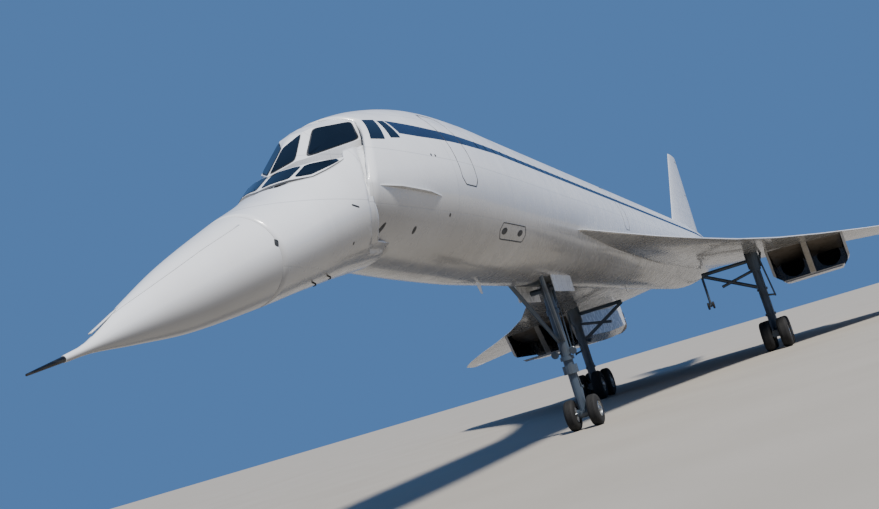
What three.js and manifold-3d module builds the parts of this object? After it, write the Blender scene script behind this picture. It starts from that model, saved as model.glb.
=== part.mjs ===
// A slender delta-wing airliner on its gear, its nose drooped, as a 1:2 scale model.
// All sizes here are the full-size aircraft's, in metres.
// The outer group turns them into model millimetres.
// X is the aircraft's left, Y is the station s, counted aft from the tip of the level nose, and Z is up.

import * as THREE from 'three';
import { mergeVertices } from 'three/addons/utils/BufferGeometryUtils.js';
import Module from 'manifold-3d';

const wasm = await Module();
wasm.setup();

// Scale and gaps
const MM_PER_METRE = 500;
const SEAT = 0.0006;
const CLEAR = 0.013;
const RUN = 0.0004;
const REACH = 20;

// Overall sizes
const LENGTH = 61.66;
const RING_POINTS = 36;
const ROUND = 16;
const TYRE_ROUND = 24;
const PIN_ROUND = 12;
const STRUT_ROUND = 8;
const STRUT_LIMIT = 0.08;
const BARREL_ROUND = 24;

// Drooping nose
const DROOP = THREE.MathUtils.degToRad(12.5);
const NOSE_HINGE = { s: 7.95, z: 4.35 };
const VISOR_HINGE = { s: 5.25, z: 5.3 };
const TIP_Z = 4.5;
const PROBE_RADIUS = 0.03;
const RADOME_STATIONS = [0.52, 0.9, 1.25, 1.6, 2.1, 2.6, 3.3];
const RADOME_END = 4.05;
const FORWARD_STATIONS = [7.0, 7.3, 7.9, 8.6, 9.4, 10.2, 11.2, 12.2, 13.2, 14, 18];
const CENTRE_STATIONS = [18, 30, 42];
const REAR_STATIONS = [42, 44, 46, 48, 50, 52, 54, 56, 58, 59.3, 60.6, LENGTH];
const SEAM_S = 7.28;
const SHELL = 0.05;
const LIP = { s: 7.24, z: 4.0 };
const APEX_GAP = 0.02;
const SILL = { front: [5.25, 5.5], rear: [SEAM_S, 5.72] };

// Round ears that the nose and the visor turn on, and the pins in them
const NOSE_EAR = { r: 0.08, near: 0.8, far: 1.0, pin: 0.035, pinNear: 0.6, pinFar: 0.88 };
const VISOR_EAR = { r: 0.06, near: 0.25, far: 0.3, pin: 0.025, pinNear: 0.24, pinFar: 0.63 };

// Body sections: station, half width, belly height, height of the greatest width, crown height
const SECTION_COLUMNS = ['s', 'half', 'belly', 'waist', 'crown'];
const SECTIONS = [
  [0.52, 0.035, 4.465, 4.5, 4.535],
  [0.9, 0.06, 4.45, 4.51, 4.57],
  [1.6, 0.2, 4.35, 4.56, 4.79],
  [2.6, 0.41, 4.22, 4.63, 5.06],
  [4.05, 0.67, 4.14, 4.74, 5.35],
  [5.3, 0.87, 4.1, 4.84, 5.57],
  [6.3, 1.02, 4.06, 4.93, 5.92],
  [7.28, 1.15, 4.0, 5.02, 6.32],
  [8.6, 1.28, 3.91, 5.16, 6.7],
  [10.2, 1.4, 3.83, 5.32, 6.97],
  [12.2, 1.44, 3.76, 5.4, 7.07],
  [14.0, 1.44, 3.75, 5.41, 7.07],
  [42.0, 1.44, 3.75, 5.41, 7.07],
  [46.0, 1.36, 3.92, 5.46, 7.06],
  [50.0, 1.15, 4.27, 5.58, 6.98],
  [54.0, 0.84, 4.75, 5.75, 6.8],
  [58.0, 0.47, 5.34, 5.94, 6.53],
  [60.6, 0.2, 5.82, 6.06, 6.28],
  [61.66, 0.05, 6.04, 6.1, 6.15],
].map(row => Object.fromEntries(SECTION_COLUMNS.map((name, i) => [name, row[i]])));

// Collar inside the nose joint: stations, the height it is cut down to in front, and where that cut ends
const COLLAR = { stations: [6.6, 7.0, 7.6, 8.3], top: 4.97, back: 7.02 };

// Windscreen block, which stays with the body when the nose droops and stands on the collar
const DECK_FOOT = COLLAR.top + SEAT;
const DECK = [
  [5.85, 0.2, DECK_FOOT, 5.2, 5.32],
  [6.2, 0.5, DECK_FOOT, 5.3, 5.6],
  [6.7, 0.67, DECK_FOOT, 5.35, 5.92],
  [COLLAR.back - SEAT, 0.78, DECK_FOOT, 5.37, 6.06],
].map(row => Object.fromEntries(SECTION_COLUMNS.map((name, i) => [name, row[i]])));

// Lowered visor, a band around the foot of the windscreen
const VISOR = [
  [5.3, 0.3, 4.9, 5.25, 5.54],
  [5.85, 0.36, 4.9, 5.3, 5.64],
  [6.02, 0.46, 4.2, 5.35, 5.8],
  [6.2, 0.575, 4.0, 5.45, 6.1],
  [6.78, 0.775, 4.0, 5.5, 6.5],
  [7.1, 0.88, 4.0, 5.5, 6.7],
].map(row => Object.fromEntries(SECTION_COLUMNS.map((name, i) => [name, row[i]])));
const VISOR_WALL = 0.045;
const VISOR_EDGE = [[5.2, 5.3], [6.78, 5.3], [6.78, 5.69], [6.3, 5.72], [5.9, 5.66], [5.2, 5.66]];

// Wing ribs: distance from the centre line, leading edge, trailing edge, height of the lead, thickness
const RIB_COLUMNS = ['x', 'lead', 'trail', 'z', 'thick'];
const RIBS = [
  [0.9, 17.2, 48.2, 4.76, 0.62],
  [1.4, 18.2, 48.2, 4.74, 0.66],
  [1.85, 21.0, 48.2, 4.65, 0.68],
  [2.4, 24.0, 48.2, 4.53, 0.66],
  [3.1, 27.0, 48.2, 4.39, 0.62],
  [3.95, 30.0, 48.18, 4.22, 0.56],
  [5.15, 33.0, 48.15, 4.02, 0.48],
  [6.7, 36.0, 48.1, 3.84, 0.38],
  [8.25, 38.5, 48.05, 3.68, 0.3],
  [9.95, 41.0, 48.0, 3.52, 0.22],
  [11.3, 43.0, 47.97, 3.36, 0.16],
  [12.2, 44.6, 47.95, 3.24, 0.12],
  [12.65, 45.9, 47.95, 3.22, 0.09],
  [12.8, 47.0, 47.9, 3.21, 0.06],
].map(row => Object.fromEntries(RIB_COLUMNS.map((name, i) => [name, row[i]])));
const TRAIL_THICK = 0.03;
const CHORD_STEPS = 10;
const DIP = { from: 1.62, angle: THREE.MathUtils.degToRad(6.56) };

// Elevons: name, inner and outer end, nose radius at each end
const ELEVON_HINGE = { s: 46.35, z: 4.5 };
const ELEVONS = [
  { name: 'inner', from: 1.62, to: 4.2, r0: 0.115, r1: 0.1 },
  { name: 'middle', from: 7.6, to: 9.88, r0: 0.078, r1: 0.062 },
  { name: 'outer', from: 9.96, to: 12.25, r0: 0.062, r1: 0.045 },
];

// Fin and rudders: the two edges run straight from the root to the tip
const FIN = { rootZ: 6.7, tipZ: 12.2, rootLead: 46.1, tipLead: 55.25, rootTrail: 57.05, tipTrail: 57.95 };
const FIN_THICK = { root: 0.3, tip: 0.13 };
const RUDDER_AXIS = { rootS: 55.2, tipS: 56.9 };
const RUDDERS = [
  { name: 'lower', from: 7.35, to: 9.62 },
  { name: 'upper', from: 9.76, to: 11.85 },
];
const RUDDER_GAP = 0.03;
const PIN = { share: 0.35, reach: 0.07, root: 0.03 };

// Nacelles, with two engines side by side in each
const NACELLE = { inner: 4.35, outer: 7.45, top: 3.95, belly: 2.45, lip: 38.2, ramp: 37.35, exit: 49.32 };
const NACELLE_TOPS = { front: 4.3, rear: 4.45, last: 46.8, exit: 4.1 };
const NACELLE_ROUND = 0.35;
const DUCT = { half: 0.66, floor: 0.09, roof: 0.1, end: 41.2 };
const ENGINE = { offset: 0.78, from: 43.0, to: 46.6, z: 3.17, r: 0.5 };
const NOZZLE = { z: 3.4, r: 0.62, wall: 0.06, end: 49.74 };
const BUCKET = { pivot: 49.75, rear: 50.55, r: 0.72, wall: 0.06, slope: 0.62, split: 0.02 };
const BUCKET_EAR = { r: 0.075, pin: 0.03 };

// Gear
const NOSE_GEAR = { s: 18.4, top: 4.3, turn: 1.62, axle: 0.39, r: 0.13 };
const NOSE_WHEEL = { r: 0.39, width: 0.27, hub: 0.2, core: 0.05, at: 0.3 };
const MAIN_GEAR = { x: 3.86, s: 36.55, top: 4.3, pivot: 0.62, r: 0.17, beam: 0.13, housing: 0.26 };
const MAIN_WHEEL = { r: 0.595, width: 0.4, hub: 0.3, core: 0.07, at: 0.335, axle: 0.835 };
const TAIL_GEAR = { s: 52.0, top: 4.75, axle: 2.75, r: 0.07 };
const TAIL_WHEEL = { hub: 0.2, core: 0.03, width: 0.12, at: 0.14 };

// Doors that hang open beside the nose leg: height of the hinge edge and of the free edge
const NOSE_DOOR = { x: 0.46, from: 17.4, to: 19.3, top: 3.95, foot: 3.42, thick: 0.03 };

// Narrow shelves on the body's sides behind the flight deck: outline of distance out and station
const STRAKE = { outline: [[1.0, 7.75], [1.2, 7.75], [1.45, 8.9], [1.45, 9.05], [1.25, 9.2], [1.0, 9.2]], z: [4.98, 4.84] };
const STRAKE_THICK = 0.035;

const JACKS = {
  nose: { x: 0, s: 15, z: 3.7, r: 0.09 },
  wing: { x: 2.6, s: 40, z: 4.0, r: 0.11 },
};

// Materials: colour, roughness, metalness
const LOOKS = {
  white: [0xe9eaec, 0.35, 0],
  steel: [0x9aa6b4, 0.35, 0.7],
  hot: [0x4a4744, 0.5, 0.8],
  gear: [0x8b99a8, 0.45, 0.3],
  tyre: [0x18181a, 0.85, 0],
  dark: [0x2c2e31, 0.5, 0.3],
  glass: [0x14181d, 0.08, 0],
};
const materials = Object.fromEntries(Object.entries(LOOKS).map(([name, [color, roughness, metalness]]) =>
  [name, new THREE.MeshStandardMaterial({ name, color, roughness, metalness })]));

// Closed meshes from rings of points, with fans over both ends
function loft(rings) {
  const count = rings[0].length;
  const points = rings.flat();
  const triangles = [];
  for (let i = 0; i + 1 < rings.length; i++) {
    for (let j = 0; j < count; j++) {
      const a = i * count + j;
      const b = i * count + (j + 1) % count;
      triangles.push(a, b, b + count, a, b + count, a + count);
    }
  }
  for (const [ring, flip] of [[0, true], [rings.length - 1, false]]) {
    const centre = points.length;
    points.push(middle(rings[ring]));
    for (let j = 0; j < count; j++) {
      const a = ring * count + j;
      const b = ring * count + (j + 1) % count;
      triangles.push(...(flip ? [centre, b, a] : [centre, a, b]));
    }
  }
  return outward(points, triangles);
}

function middle(ring) {
  return [0, 1, 2].map(k => ring.reduce((sum, p) => sum + p[k], 0) / ring.length);
}

function outward(points, triangles) {
  const geometry = new THREE.BufferGeometry();
  geometry.setAttribute('position', new THREE.Float32BufferAttribute(points.flat(), 3));
  geometry.setIndex(volume(points, triangles) < 0 ? flipped(triangles) : triangles);
  return geometry;
}

function flipped(triangles) {
  const out = [];
  for (let i = 0; i < triangles.length; i += 3) out.push(triangles[i], triangles[i + 2], triangles[i + 1]);
  return out;
}

function volume(points, triangles) {
  let sum = 0;
  for (let i = 0; i < triangles.length; i += 3) {
    const [a, b, c] = [0, 1, 2].map(k => new THREE.Vector3(...points[triangles[i + k]]));
    sum += a.dot(b.cross(c));
  }
  return sum;
}

// Booleans
function solid(geometry) {
  const plain = geometry.clone();
  plain.deleteAttribute('normal');
  plain.deleteAttribute('uv');
  const welded = mergeVertices(plain, 1e-5);
  const vertProperties = new Float32Array(welded.attributes.position.array);
  const triVerts = new Uint32Array(welded.index.array);
  return new wasm.Manifold(new wasm.Mesh({ numProp: 3, vertProperties, triVerts }));
}

function surface(manifold) {
  const mesh = manifold.getMesh();
  const geometry = new THREE.BufferGeometry();
  geometry.setAttribute('position', new THREE.BufferAttribute(new Float32Array(mesh.vertProperties), 3));
  geometry.setIndex(new THREE.BufferAttribute(new Uint32Array(mesh.triVerts), 1));
  return geometry;
}

function join(...parts) {
  return surface(parts.map(solid).reduce((a, b) => a.add(b)));
}

function cut(base, ...tools) {
  return surface(tools.map(solid).reduce((a, b) => a.subtract(b), solid(base)));
}

function keep(base, tool) {
  return surface(solid(base).intersect(solid(tool)));
}

// Simple shapes
function box(x0, x1, s0, s1, z0, z1) {
  const shape = new THREE.BoxGeometry(x1 - x0, s1 - s0, z1 - z0);
  return shape.translate((x0 + x1) / 2, (s0 + s1) / 2, (z0 + z1) / 2);
}

// A side-view outline of [s, z] points, carried across from x0 to x1
function prism(outline, x0 = -REACH, x1 = REACH) {
  return loft([x0, x1].map(x => outline.map(([s, z]) => [x, s, z])));
}

function rod(from, to, r0, r1 = r0, sides = r0 < STRUT_LIMIT ? STRUT_ROUND : ROUND) {
  const a = new THREE.Vector3(...from);
  const along = new THREE.Vector3(...to).sub(a);
  const shape = new THREE.CylinderGeometry(r1, r0, along.length(), sides).translate(0, along.length() / 2, 0);
  const up = new THREE.Vector3(0, 1, 0);
  const turn = new THREE.Quaternion().setFromUnitVectors(up, along.clone().normalize());
  return shape.applyQuaternion(turn).translate(...from);
}

// A hinge pin, and the radius of a bore with as many sides that it turns in
function pin(from, to, r) {
  return rod(from, to, r, r, PIN_ROUND);
}

function running(r, sides = PIN_ROUND) {
  return (r + RUN) / Math.cos(Math.PI / sides);
}

function mirrored(geometry) {
  const copy = (geometry.index ? geometry : mergeVertices(geometry)).clone().scale(-1, 1, 1);
  copy.setIndex(flipped([...copy.index.array]));
  return copy;
}

// Body
function sectionAt(s) {
  const last = SECTIONS.length - 1;
  const i = Math.max(0, SECTIONS.findIndex(row => row.s >= s) - 1);
  const picks = [Math.max(i - 1, 0), i, i + 1, Math.min(i + 2, last)];
  const [before, a, b, after] = picks.map(k => SECTIONS[k]);
  const t = (s - a.s) / (b.s - a.s);
  const value = name => {
    const slopeA = (b[name] - before[name]) / (b.s - before.s) * (b.s - a.s);
    const slopeB = (after[name] - a[name]) / (after.s - a.s) * (b.s - a.s);
    const rise = b[name] - a[name];
    const square = 3 * rise - 2 * slopeA - slopeB;
    const cube = slopeA + slopeB - 2 * rise;
    return a[name] + t * slopeA + t * t * square + t ** 3 * cube;
  };
  return { s, half: value('half'), belly: value('belly'), waist: value('waist'), crown: value('crown') };
}

function ring({ s, half, belly, waist, crown }, inset = 0) {
  return Array.from({ length: RING_POINTS }, (_, i) => {
    const angle = i / RING_POINTS * 2 * Math.PI;
    const height = Math.sin(angle) > 0 ? crown - waist : waist - belly;
    return [(half - inset) * Math.cos(angle), s, waist + (height - inset) * Math.sin(angle)];
  });
}

function body(stations, inset = 0) {
  return loft(stations.map(s => ring(sectionAt(s), inset)));
}

function span(from, to, steps) {
  return Array.from({ length: steps + 1 }, (_, i) => from + (to - from) * i / steps);
}

function across(side, { s, z }, near, far, radius) {
  return rod([side * near, s, z], [side * far, s, z], radius);
}

function noseEars(grow = 0) {
  const { r, near, far } = NOSE_EAR;
  return [-1, 1].map(side => across(side, NOSE_HINGE, near - grow, far + grow, r + grow));
}

function pinPair({ s, z }, { pinNear, pinFar }, radius) {
  return [-1, 1].map(side => pin([side * pinNear, s, z], [side * pinFar, s, z], radius));
}

function noseShell() {
  const outer = body(span(RADOME_END, 8.2, 9));
  const hollow = body(span(5.0, 8.6, 7), SHELL);
  const aft = prism([
    [SEAM_S, 8], [SEAM_S, 4.72], [NOSE_HINGE.s - APEX_GAP, NOSE_HINGE.z + 0.04],
    [NOSE_HINGE.s - APEX_GAP, NOSE_HINGE.z - 0.02], [LIP.s, LIP.z], [LIP.s - 0.2, 3], [9, 3], [9, 8],
  ]);
  const opening = prism([SILL.front, SILL.rear, [8, 5.8], [8, 8], [5.25, 8]]);
  const shell = cut(outer, hollow, aft, opening);
  const held = noseEars().map(ear => keep(ear, outer));
  const bore = { ...NOSE_EAR, pinFar: NOSE_EAR.pinFar + RUN };
  const bored = cut(join(shell, ...held), ...pinPair(NOSE_HINGE, bore, running(NOSE_EAR.pin)));
  return join(bored, ...pinPair(VISOR_HINGE, VISOR_EAR, VISOR_EAR.pin));
}

function radome() {
  return body([...RADOME_STATIONS, RADOME_END - SEAT]);
}

function probe() {
  return rod([0, 0, TIP_Z], [0, 0.52 - SEAT, TIP_Z], 0.012, PROBE_RADIUS);
}

function visor() {
  const outer = loft(VISOR.map(row => ring(row)));
  const [first, ...rest] = VISOR;
  const inner = loft([{ ...first, s: first.s + VISOR_WALL }, ...rest].map(row => ring(row, VISOR_WALL)));
  const rows = prism(VISOR_EDGE);
  const arms = [-1, 1].map(side => {
    const [a, b] = [side * VISOR_EAR.near, side * VISOR_EAR.far].sort((p, q) => p - q);
    return box(a, b, VISOR_HINGE.s, VISOR_HINGE.s + 0.3, VISOR_HINGE.z - 0.04, VISOR_HINGE.z + 0.04);
  });
  const ears = [-1, 1].map(side => across(side, VISOR_HINGE, VISOR_EAR.near, VISOR_EAR.far, VISOR_EAR.r));
  const bores = pinPair(VISOR_HINGE, VISOR_EAR, running(VISOR_EAR.pin));
  return cut(join(keep(cut(outer, inner), rows), ...arms, ...ears), ...bores);
}

function flightDeck() {
  return loft(DECK.map(row => ring(row)));
}

function forwardFuselage() {
  const skin = body(FORWARD_STATIONS);
  const front = prism([
    [SEAM_S + 0.02, 8], [SEAM_S + 0.02, 4.73], [NOSE_HINGE.s + 0.02, NOSE_HINGE.z + 0.05],
    [NOSE_HINGE.s + 0.02, NOSE_HINGE.z - 0.05], [7.5, 3.88], [7.4, 3], [6, 3], [6, 8],
  ]);
  const above = prism([[6, COLLAR.top], [COLLAR.back, COLLAR.top], [COLLAR.back, 8], [6, 8]]);
  const collar = cut(body(COLLAR.stations, SHELL + 0.04), above);
  const trunk = cut(join(cut(skin, front), collar), ...noseEars(CLEAR));
  const pins = pinPair(NOSE_HINGE, NOSE_EAR, NOSE_EAR.pin);
  return join(trunk, ...pins, strake(), mirrored(strake()), jackPad(JACKS.nose));
}

function strake() {
  const { outline, z: [front, rear] } = STRAKE;
  const [start, end] = [outline[0][1], outline[outline.length - 1][1]];
  const level = s => front + (rear - front) * (s - start) / (end - start);
  return loft([-1, 1].map(way => outline.map(([x, s]) => [x, s, level(s) + way * STRAKE_THICK / 2])));
}

// Round pads that a jack bears on, flat underneath
function jackPad({ x, s, z, r }) {
  return rod([x, s, z + 0.3], [x, s, z], r);
}

function rearFuselage() {
  return body(REAR_STATIONS);
}

function trunk() {
  return body([14, ...CENTRE_STATIONS, ...REAR_STATIONS.slice(1)], -SEAT);
}

// Wings
function hingeHeight(x) {
  return ELEVON_HINGE.z - Math.tan(DIP.angle) * Math.max(0, x - DIP.from);
}

// Takes a shape made on a level hinge line onto the wing's dipping one
function dipped(geometry) {
  return geometry.translate(-DIP.from, 0, -ELEVON_HINGE.z).rotateY(DIP.angle)
    .translate(DIP.from, 0, ELEVON_HINGE.z);
}

function ribRing(rib, grow = 0, raised = 0) {
  const upper = [];
  const lower = [];
  for (let i = 0; i <= CHORD_STEPS; i++) {
    const c = (1 - Math.cos(Math.PI * i / CHORD_STEPS)) / 2;
    const bow = 4 * c * (1 - c);
    const half = Math.max(TRAIL_THICK / 2 * Math.min(1, i), rib.thick / 2 * bow ** 0.8) + grow;
    const s = rib.lead - grow + (rib.trail + 2 * grow - rib.lead) * c;
    const ahead = Math.max(0, ELEVON_HINGE.s - 0.3 - s) / Math.max(0.1, ELEVON_HINGE.s - 0.3 - rib.lead);
    const hinge = hingeHeight(rib.x);
    const z = hinge + (rib.z - hinge) * ahead ** 1.5;
    upper.push([rib.x, s, z + half + (i > 0 ? raised : 0)]);
    if (i > 0) lower.unshift([rib.x, s, z - half]);
  }
  return [...upper, ...lower];
}

function elevonProfile(r, x, trail) {
  const nose = Array.from({ length: 9 }, (_, i) => {
    const angle = Math.PI / 2 + Math.PI * i / 8;
    return [x, ELEVON_HINGE.s + r * Math.cos(angle), ELEVON_HINGE.z + r * Math.sin(angle)];
  });
  const tail = [-1, 1].map(side => [x, trail, ELEVON_HINGE.z + side * TRAIL_THICK / 2]);
  return [...nose, ...tail];
}

function trailAt(x) {
  const i = RIBS.findIndex(rib => rib.x >= x);
  const t = (x - RIBS[i - 1].x) / (RIBS[i].x - RIBS[i - 1].x);
  return RIBS[i - 1].trail + t * (RIBS[i].trail - RIBS[i - 1].trail);
}

// Pins in the ends of a bay, which the surface turns on
function elevonPins({ from, to, r0, r1 }, radius = r => r) {
  const { s, z } = ELEVON_HINGE;
  const at = (x, way, r) =>
    pin([x - way * (CLEAR + PIN.root), s, z], [x + way * PIN.reach, s, z], radius(r * PIN.share));
  return [at(from, 1, r0), at(to, -1, r1)].map(dipped);
}

function elevon(part) {
  const { from, to, r0, r1 } = part;
  const level = loft([elevonProfile(r0, from, trailAt(from)), elevonProfile(r1, to, trailAt(to))]);
  return cut(dipped(level), ...elevonPins({ ...part, from: from + RUN, to: to - RUN }, running));
}

function elevonBay({ from, to, r0, r1 }) {
  const { s, z } = ELEVON_HINGE;
  const radii = [r0 * 1.08 + CLEAR, r1 * 1.08 + CLEAR];
  const cove = rod([from - CLEAR, s, z], [to + CLEAR, s, z], ...radii, 2 * ROUND);
  return [cove, box(from - CLEAR, to + CLEAR, s, s + 3, z - 1, z + 1)].map(dipped);
}

function wing() {
  const blank = loft(RIBS.map(rib => ribRing(rib)));
  const bays = ELEVONS.flatMap(elevonBay);
  const pins = ELEVONS.flatMap(part => elevonPins(part));
  return join(cut(blank, trunk(), ...bays), ...pins, jackPad(JACKS.wing));
}

// Fin
function finAt(z) {
  const t = (z - FIN.rootZ) / (FIN.tipZ - FIN.rootZ);
  return {
    lead: FIN.rootLead + t * (FIN.tipLead - FIN.rootLead),
    trail: FIN.rootTrail + t * (FIN.tipTrail - FIN.rootTrail),
    axis: RUDDER_AXIS.rootS + t * (RUDDER_AXIS.tipS - RUDDER_AXIS.rootS),
    thick: FIN_THICK.root + t * (FIN_THICK.tip - FIN_THICK.root),
    nose: (FIN_THICK.root + t * (FIN_THICK.tip - FIN_THICK.root)) * 0.36,
  };
}

function finRing(z) {
  const { lead, trail, thick } = finAt(z);
  const side = sign => Array.from({ length: 9 }, (_, i) => {
    const c = i / 8;
    const half = Math.max(TRAIL_THICK / 2 * Math.min(1, i), thick / 2 * (4 * c * (1 - c)) ** 0.6);
    return [sign * half, lead + (trail - lead) * c, z];
  });
  return [...side(1), ...side(-1).slice(1).reverse()];
}

function rudderRing(z) {
  const { axis, trail, nose } = finAt(z);
  const arc = Array.from({ length: 9 }, (_, i) => {
    const angle = Math.PI * i / 8;
    return [nose * Math.cos(angle), axis - nose * Math.sin(angle), z];
  });
  return [...arc, [-TRAIL_THICK / 2, trail, z], [TRAIL_THICK / 2, trail, z]];
}

function rudderPins({ from, to }, radius = r => r) {
  const point = z => [0, finAt(z).axis, z];
  const at = (z, way) => {
    const r = radius(finAt(z).nose * PIN.share);
    return pin(point(z - way * (RUDDER_GAP + PIN.root)), point(z + way * PIN.reach), r);
  };
  return [at(from, 1), at(to, -1)];
}

function rudder(part) {
  const { from, to } = part;
  const bores = rudderPins({ from: from + RUN, to: to - RUN }, running);
  return cut(loft([rudderRing(from), rudderRing(to)]), ...bores);
}

function rudderBay({ from, to }) {
  const [low, high] = [from - RUDDER_GAP, to + RUDDER_GAP].map(z => ({ z, ...finAt(z) }));
  const circle = ({ z, axis, nose }) => Array.from({ length: 2 * ROUND }, (_, i) => {
    const angle = Math.PI * i / ROUND;
    const r = nose * 1.2 + CLEAR;
    return [r * Math.cos(angle), axis + r * Math.sin(angle), z];
  });
  const aft = ({ z, axis }) => [[-1, axis, z], [1, axis, z], [1, axis + 6, z], [-1, axis + 6, z]];
  return [loft([circle(low), circle(high)]), loft([aft(low), aft(high)])];
}

function fin() {
  const blank = loft([6.0, FIN.rootZ, 9.6, FIN.tipZ].map(finRing));
  const bays = RUDDERS.flatMap(rudderBay);
  return join(cut(blank, trunk(), ...bays), ...RUDDERS.flatMap(part => rudderPins(part)));
}

// Nacelles
function nacelleOutline(half, belly, top) {
  const left = [[half - NACELLE_ROUND, belly], [half, belly + NACELLE_ROUND], [half, top]];
  return [...left.map(([x, z]) => [-x, z]).reverse(), ...left];
}

function nacelle() {
  const mid = (NACELLE.inner + NACELLE.outer) / 2;
  const half = (NACELLE.outer - NACELLE.inner) / 2;
  const at = (s, h, belly, top) => nacelleOutline(h, belly, top).map(([x, z]) => [mid + x, s, z]);
  const shell = loft([
    at(NACELLE.ramp, half, NACELLE.belly + 0.05, NACELLE_TOPS.front),
    at(41, half, NACELLE.belly, NACELLE_TOPS.front),
    at(45, half, NACELLE.belly + 0.05, NACELLE_TOPS.rear),
    at(NACELLE_TOPS.last, half, NACELLE.belly + 0.12, NACELLE_TOPS.rear),
    at(48.15, half, NACELLE.belly + 0.2, NACELLE_TOPS.exit),
    at(NACELLE.exit, half, NACELLE.belly + 0.28, NACELLE_TOPS.exit),
  ]);
  const rake = prism([
    [NACELLE.ramp - 1, 5], [NACELLE.ramp, 5], [NACELLE.ramp, NACELLE.top],
    [NACELLE.lip, NACELLE.belly], [NACELLE.lip, 2], [NACELLE.ramp - 1, 2],
  ]);
  const ducts = [-1, 1].flatMap(side => {
    const x = mid + side * ENGINE.offset;
    return [
      box(x - DUCT.half, x + DUCT.half, NACELLE.ramp - 1, DUCT.end,
        NACELLE.belly + DUCT.floor, NACELLE.top - DUCT.roof),
      rod([x, DUCT.end - 0.2, ENGINE.z], [x, 47.5, ENGINE.z], ENGINE.r + SEAT),
      rod([x, 47.2, NOZZLE.z], [x, 52, NOZZLE.z], NOZZLE.r - NOZZLE.wall),
    ];
  });
  const barrels = [-1, 1].map(side => {
    const x = mid + side * ENGINE.offset;
    return rod([x, 48, NOZZLE.z], [x, NOZZLE.end, NOZZLE.z], NOZZLE.r, NOZZLE.r, BARREL_ROUND);
  });
  const pins = [-1, 1].map(side => bucketPin(mid + side * ENGINE.offset, BUCKET_EAR.pin, BUCKET.r + 0.02));
  return cut(join(shell, ...barrels, ...pins), rake, ...ducts, wingSkin(1));
}

// The wing a gap larger all round, its upper side raised to also take off what stands above it
function wingSkin(raised = 0) {
  return loft(RIBS.map(rib => ribRing(rib, SEAT, raised)));
}

function engine(side) {
  const x = (NACELLE.inner + NACELLE.outer) / 2 + side * ENGINE.offset;
  return rod([x, ENGINE.from, ENGINE.z], [x, ENGINE.to, ENGINE.z], ENGINE.r);
}

// Reverser buckets, two to a nozzle, turning on a crosswise pin through both their ears
function bucketPin(x, radius, reach) {
  return pin([x - reach, BUCKET.pivot, NOZZLE.z], [x + reach, BUCKET.pivot, NOZZLE.z], radius);
}

// A disc on each side of the nozzle, between two distances from its centre line
function ears(x, near, far, radius) {
  return [-1, 1].map(way =>
    rod([x + way * near, BUCKET.pivot, NOZZLE.z], [x + way * far, BUCKET.pivot, NOZZLE.z], radius));
}

function bucket(side, up) {
  const x = (NACELLE.inner + NACELLE.outer) / 2 + side * ENGINE.offset;
  const { pivot, rear, r, wall, slope, split } = BUCKET;
  const barrel = rod([x, pivot, NOZZLE.z], [x, rear, NOZZLE.z], r, r, BARREL_ROUND);
  const bore = rod([x, pivot - 1, NOZZLE.z], [x, rear + 1, NOZZLE.z], r - wall, r - wall, BARREL_ROUND);
  const half = prism([
    [pivot - 1, NOZZLE.z + up * split], [pivot, NOZZLE.z + up * split],
    [rear + 0.1, NOZZLE.z + up * (slope * (rear + 0.1 - pivot) + split)],
    [rear + 0.1, NOZZLE.z + up * 2], [pivot - 1, NOZZLE.z + up * 2],
  ]);
  const [inner, outer] = [[r - wall, r - wall / 2 - CLEAR / 4], [r - wall / 2 + CLEAR / 4, r]];
  const [own, other] = up > 0 ? [inner, outer] : [outer, inner];
  const room = ears(x, other[0] - CLEAR, other[1] + CLEAR, BUCKET_EAR.r + CLEAR);
  const shell = cut(keep(cut(barrel, bore), half), ...room);
  return cut(join(shell, ...ears(x, ...own, BUCKET_EAR.r)), bucketPin(x, running(BUCKET_EAR.pin), 1));
}

// Landing gear
function noseLeg() {
  const { s, top, turn, r } = NOSE_GEAR;
  const post = rod([0, s, top], [0, s, turn], r);
  const drag = [-1, 1].map(side => rod([side * 0.42, s - 1.75, 3.95], [side * 0.05, s - 0.02, 2.2], 0.055));
  const beam = rod([-0.42, s, 3.62], [0.42, s, 3.62], 0.07);
  const stay = rod([0, s + 0.95, 3.95], [0, s, 2.6], 0.05);
  return cut(join(post, ...drag, beam, stay), trunk());
}

function noseDoor() {
  const { x, from, to, top, foot, thick } = NOSE_DOOR;
  return cut(box(x, x + thick, from, to, foot, top), trunk());
}

function noseSteering() {
  const { s, turn, axle, r } = NOSE_GEAR;
  const post = rod([0, s, turn - SEAT], [0, s, axle], r * 0.85);
  const collar = rod([0, s, turn - SEAT], [0, s, turn - 0.22], r * 1.5);
  const fork = rod([-0.14, s, axle], [0.14, s, axle], 0.12);
  return cut(join(post, collar, fork), axleBore(0, s, axle, NOSE_WHEEL.core));
}

function wheelPair(x, s, z, { hub, core, at, width }) {
  const disc = side => rod([x + side * (at - width * 0.4), s, z], [x + side * (at + width * 0.36), s, z], hub);
  return join(disc(-1), disc(1), rod([x - at, s, z], [x + at, s, z], core, core, ROUND));
}

function tyre(x, s, z, { r, hub, width }) {
  const w = width / 2;
  const bore = (hub + SEAT) / Math.cos(Math.PI / TYRE_ROUND);
  const profile = [
    [bore, -w * 0.75], [r * 0.8, -w], [r * 0.95, -w * 0.8], [r, -w * 0.42],
    [r, w * 0.42], [r * 0.95, w * 0.8], [r * 0.8, w], [bore, w * 0.75],
  ];
  profile.push(profile[0]);
  const shape = new THREE.LatheGeometry(profile.map(([a, b]) => new THREE.Vector2(a, b)), TYRE_ROUND);
  return shape.rotateZ(-Math.PI / 2).translate(x, s, z);
}

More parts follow.
